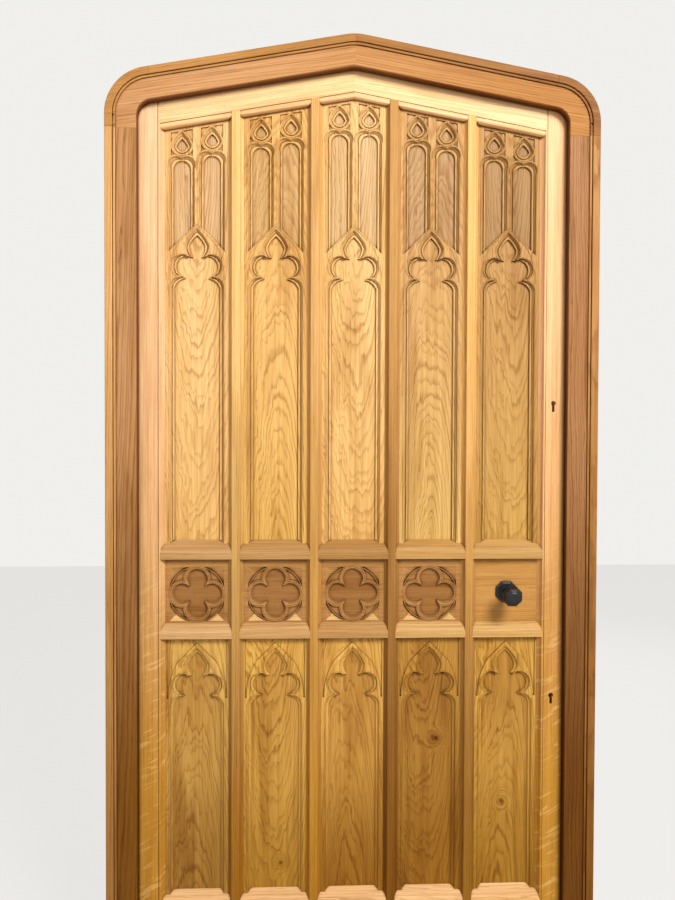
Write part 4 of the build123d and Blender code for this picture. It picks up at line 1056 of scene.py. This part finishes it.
def half_disc(half):
    """Outline of one half of a screw's head, up to the edge of its slot."""
    angles = [2 * pi * k / screw_facets for k in range(screw_facets)]
    rim = [(screw_rim * cos(angle), screw_rim * sin(angle)) for angle in angles]
    run = [(a, b) for a, b in rim if half * b > screw_slot * 1.2]
    run.sort(key=lambda point: atan2(half * point[1], point[0]))
    chord = sqrt(screw_rim ** 2 - screw_slot ** 2)
    return [(chord, half * screw_slot)] + run + [(-chord, half * screw_slot)]


def screw_head(name, middle, side, body):
    """Slotted head whose face looks along X, to the side of the joint."""
    points, faces = [], []
    for half in (-1, 1):
        run = half_disc(half)
        top, foot = len(points), len(points) + len(run)
        points += [(middle.x + side * stand_out, middle.y + a, middle.z + b) for a, b in run]
        points += [(middle.x - side * countersink, middle.y + 0.8 * a, middle.z + 0.8 * b) for a, b in run]
        faces += [tuple(range(top, foot)), tuple(range(foot + len(run) - 1, foot - 1, -1))]
        for k in range(len(run)):
            before = (k - 1) % len(run)
            faces.append((top + before, foot + before, foot + k, top + k))
    return closed_piece(name, points, faces, steel, body)


print("points round the two halves of a head:", 2 * len(half_disc(1)))

# %% Screws in the plates of the hinges
hinge_x = -0.518 + 0.0015       # middle of the joint between the leaf and the left jamb
hinge_height = 0.100
plate_gap = 0.0002              # half the gap between the plates of a closed hinge
screw_rises = (-0.038, -0.014, 0.014, 0.038)
low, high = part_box("hinge_leaf_plates")
hinge_levels = {"low": low[2] + hinge_height / 2, "middle": (low[2] + high[2]) / 2,
                "high": high[2] - hinge_height / 2}
screws = []
for place, level in hinge_levels.items():
    for side, body in ((-1, "frame"), (1, "leaf")):
        for k, rise in enumerate(screw_rises):
            centre = Vector((hinge_x + side * plate_gap, 0.060 + 0.010 * (k % 2), level + rise))
            screws.append(screw_head(f"screw_{body}_{place}_{k + 1}", centre, -side, body))
print("screws:", len(screws), "hinges at", [round(level, 3) for level in hinge_levels.values()])

# %% [markdown]
# ## The camera
#
# The photograph was taken from close by, a little left of the middle, at chest height and almost
# level. The camera's place, turn and lens were worked out from the straight lines of the door, which
# fix them better than trying by eye. Euler angles would do for the turn, but it is easier to read
# as what a hand does with a camera: turn it right, tip it up and roll it.

# %% Place, turn and lens
camera_place = (-0.1054, -1.7366, 1.3447)


def camera_turn(yaw, pitch, roll):
    """Rotation of a camera that looks along +Y, turned right, tipped up and rolled, in degrees."""
    yaw, pitch, roll = map(radians, (yaw, pitch, roll))
    ahead = Vector((sin(yaw) * cos(pitch), cos(yaw) * cos(pitch), sin(pitch)))
    right = Vector((cos(yaw), -sin(yaw), 0))
    up = right.cross(ahead)
    right, up = cos(roll) * right + sin(roll) * up, cos(roll) * up - sin(roll) * right
    return Matrix((right, up, -ahead)).transposed()


lens = bpy.data.cameras.new("door_camera")
lens.sensor_width = 36.0
lens.lens = 30.05
camera = bpy.data.objects.new("door_camera", lens)
camera.matrix_world = Matrix.Translation(camera_place) @ camera_turn(2.197, -1.122, 0.199).to_4x4()
bpy.context.scene.collection.objects.link(camera)
bpy.context.scene.camera = camera
print("camera", round(-camera_place[1], 2), "m in front of the frame")

# %% [markdown]
# ## Floor and backdrop
#
# The door stands in a plain pale studio. A backdrop lit until it is white would throw all that
# light back on the oak and bleach it. So the light paths are told apart: what the camera sees of
# the world, directly or in a reflection, is near white, and what lights the door is much dimmer.
# The floor mixes the same glow with plain chalk, which still shows the shadow at the door's foot.

# %% A glow that is only seen
pale = screen(246, 245, 242)
seen_glow, world_light = 0.95, 0.30


def seen_directly(tree):
    """1 for what the camera sees, directly or by way of a glossy or a clear surface."""
    rays = add(tree, "ShaderNodeLightPath").outputs
    mirrored_or_clear = maths(tree, "MAXIMUM", rays["Is Glossy Ray"], rays["Is Transmission Ray"])
    return maths(tree, "MAXIMUM", rays["Is Camera Ray"], mirrored_or_clear)


print("the backdrop as light:", [round(c, 2) for c in pale[:3]])

# %% The floor
floor_reach, floor_drop = 6, -0.001
floor_mesh = bpy.data.meshes.new("floor")
corners = [(a * floor_reach, b * floor_reach, floor_drop) for a, b in ((-1, -1), (1, -1), (1, 1), (-1, 1))]
floor_mesh.from_pydata(corners, [], [(0, 1, 2, 3)])
floor = bpy.data.objects.new("floor", floor_mesh)
bpy.context.scene.collection.objects.link(floor)
floor_paint, tree = blank_material("floor")
chalk = add(tree, "ShaderNodeBsdfDiffuse", {"Color": screen(226, 224, 219)}).outputs[0]
glow = add(tree, "ShaderNodeEmission", {"Color": pale, "Strength": seen_glow}).outputs[0]
paint = add(tree, "ShaderNodeMixShader", {0: times(tree, seen_directly(tree), 0.84), 1: chalk, 2: glow})
add(tree, "ShaderNodeOutputMaterial", {"Surface": paint.outputs[0]})
floor_mesh.materials.append(floor_paint)
print("floor:", 2 * floor_reach, "m square")

# %% The world
world = bpy.data.worlds.new("studio")
bpy.context.scene.world = world
world.use_nodes = True
tree = world.node_tree
tree.nodes.clear()
strength = spread(tree, seen_directly(tree), 0.0, 1.0, world_light, seen_glow, smooth=False)
sky = add(tree, "ShaderNodeBackground", {"Color": pale, "Strength": strength})
add(tree, "ShaderNodeOutputWorld", {"Surface": sky.outputs[0]})
print("the world is seen", round(seen_glow / world_light, 1), "times as bright as it shines")

# %% [markdown]
# ## Lamps
#
# Carving needs light from one side. The key lamp stands high on the right, where the sun would be
# in the open, and is just small enough to draw each bead and hollow. A broad, weak fill on the left
# keeps the shadows open, and a third lamp lets the plain inside be seen. Sun lamps would draw
# harder shadows than a bright cloudy day does. The colours are kept plain with the Standard view.

# %% Three soft lamps
def soft_lamp(name, place, aim, size, power):
    """Large square lamp that looks at a point."""
    data = bpy.data.lights.new(name, "AREA")
    data.shape = "SQUARE"
    data.size = size
    data.energy = power
    lamp = bpy.data.objects.new(name, data)
    lamp.location = place
    lamp.rotation_euler = (Vector(aim) - Vector(place)).to_track_quat("-Z", "Y").to_euler()
    bpy.context.scene.collection.objects.link(lamp)
    return lamp


lamps = [soft_lamp("key", (1.5, -3.0, 3.5), (0, 0, 1.2), 1.2, 200),
         soft_lamp("fill", (-2.8, -3.0, 1.8), (0, 0, 1.2), 2.5, 24),
         soft_lamp("behind", (1.5, 3.0, 2.6), (0, 0, 1.1), 2.0, 60)]
bpy.context.scene.view_settings.view_transform = "Standard"
print("lamps, in watts:", {lamp.name: round(lamp.data.energy) for lamp in lamps})

# %% [markdown]
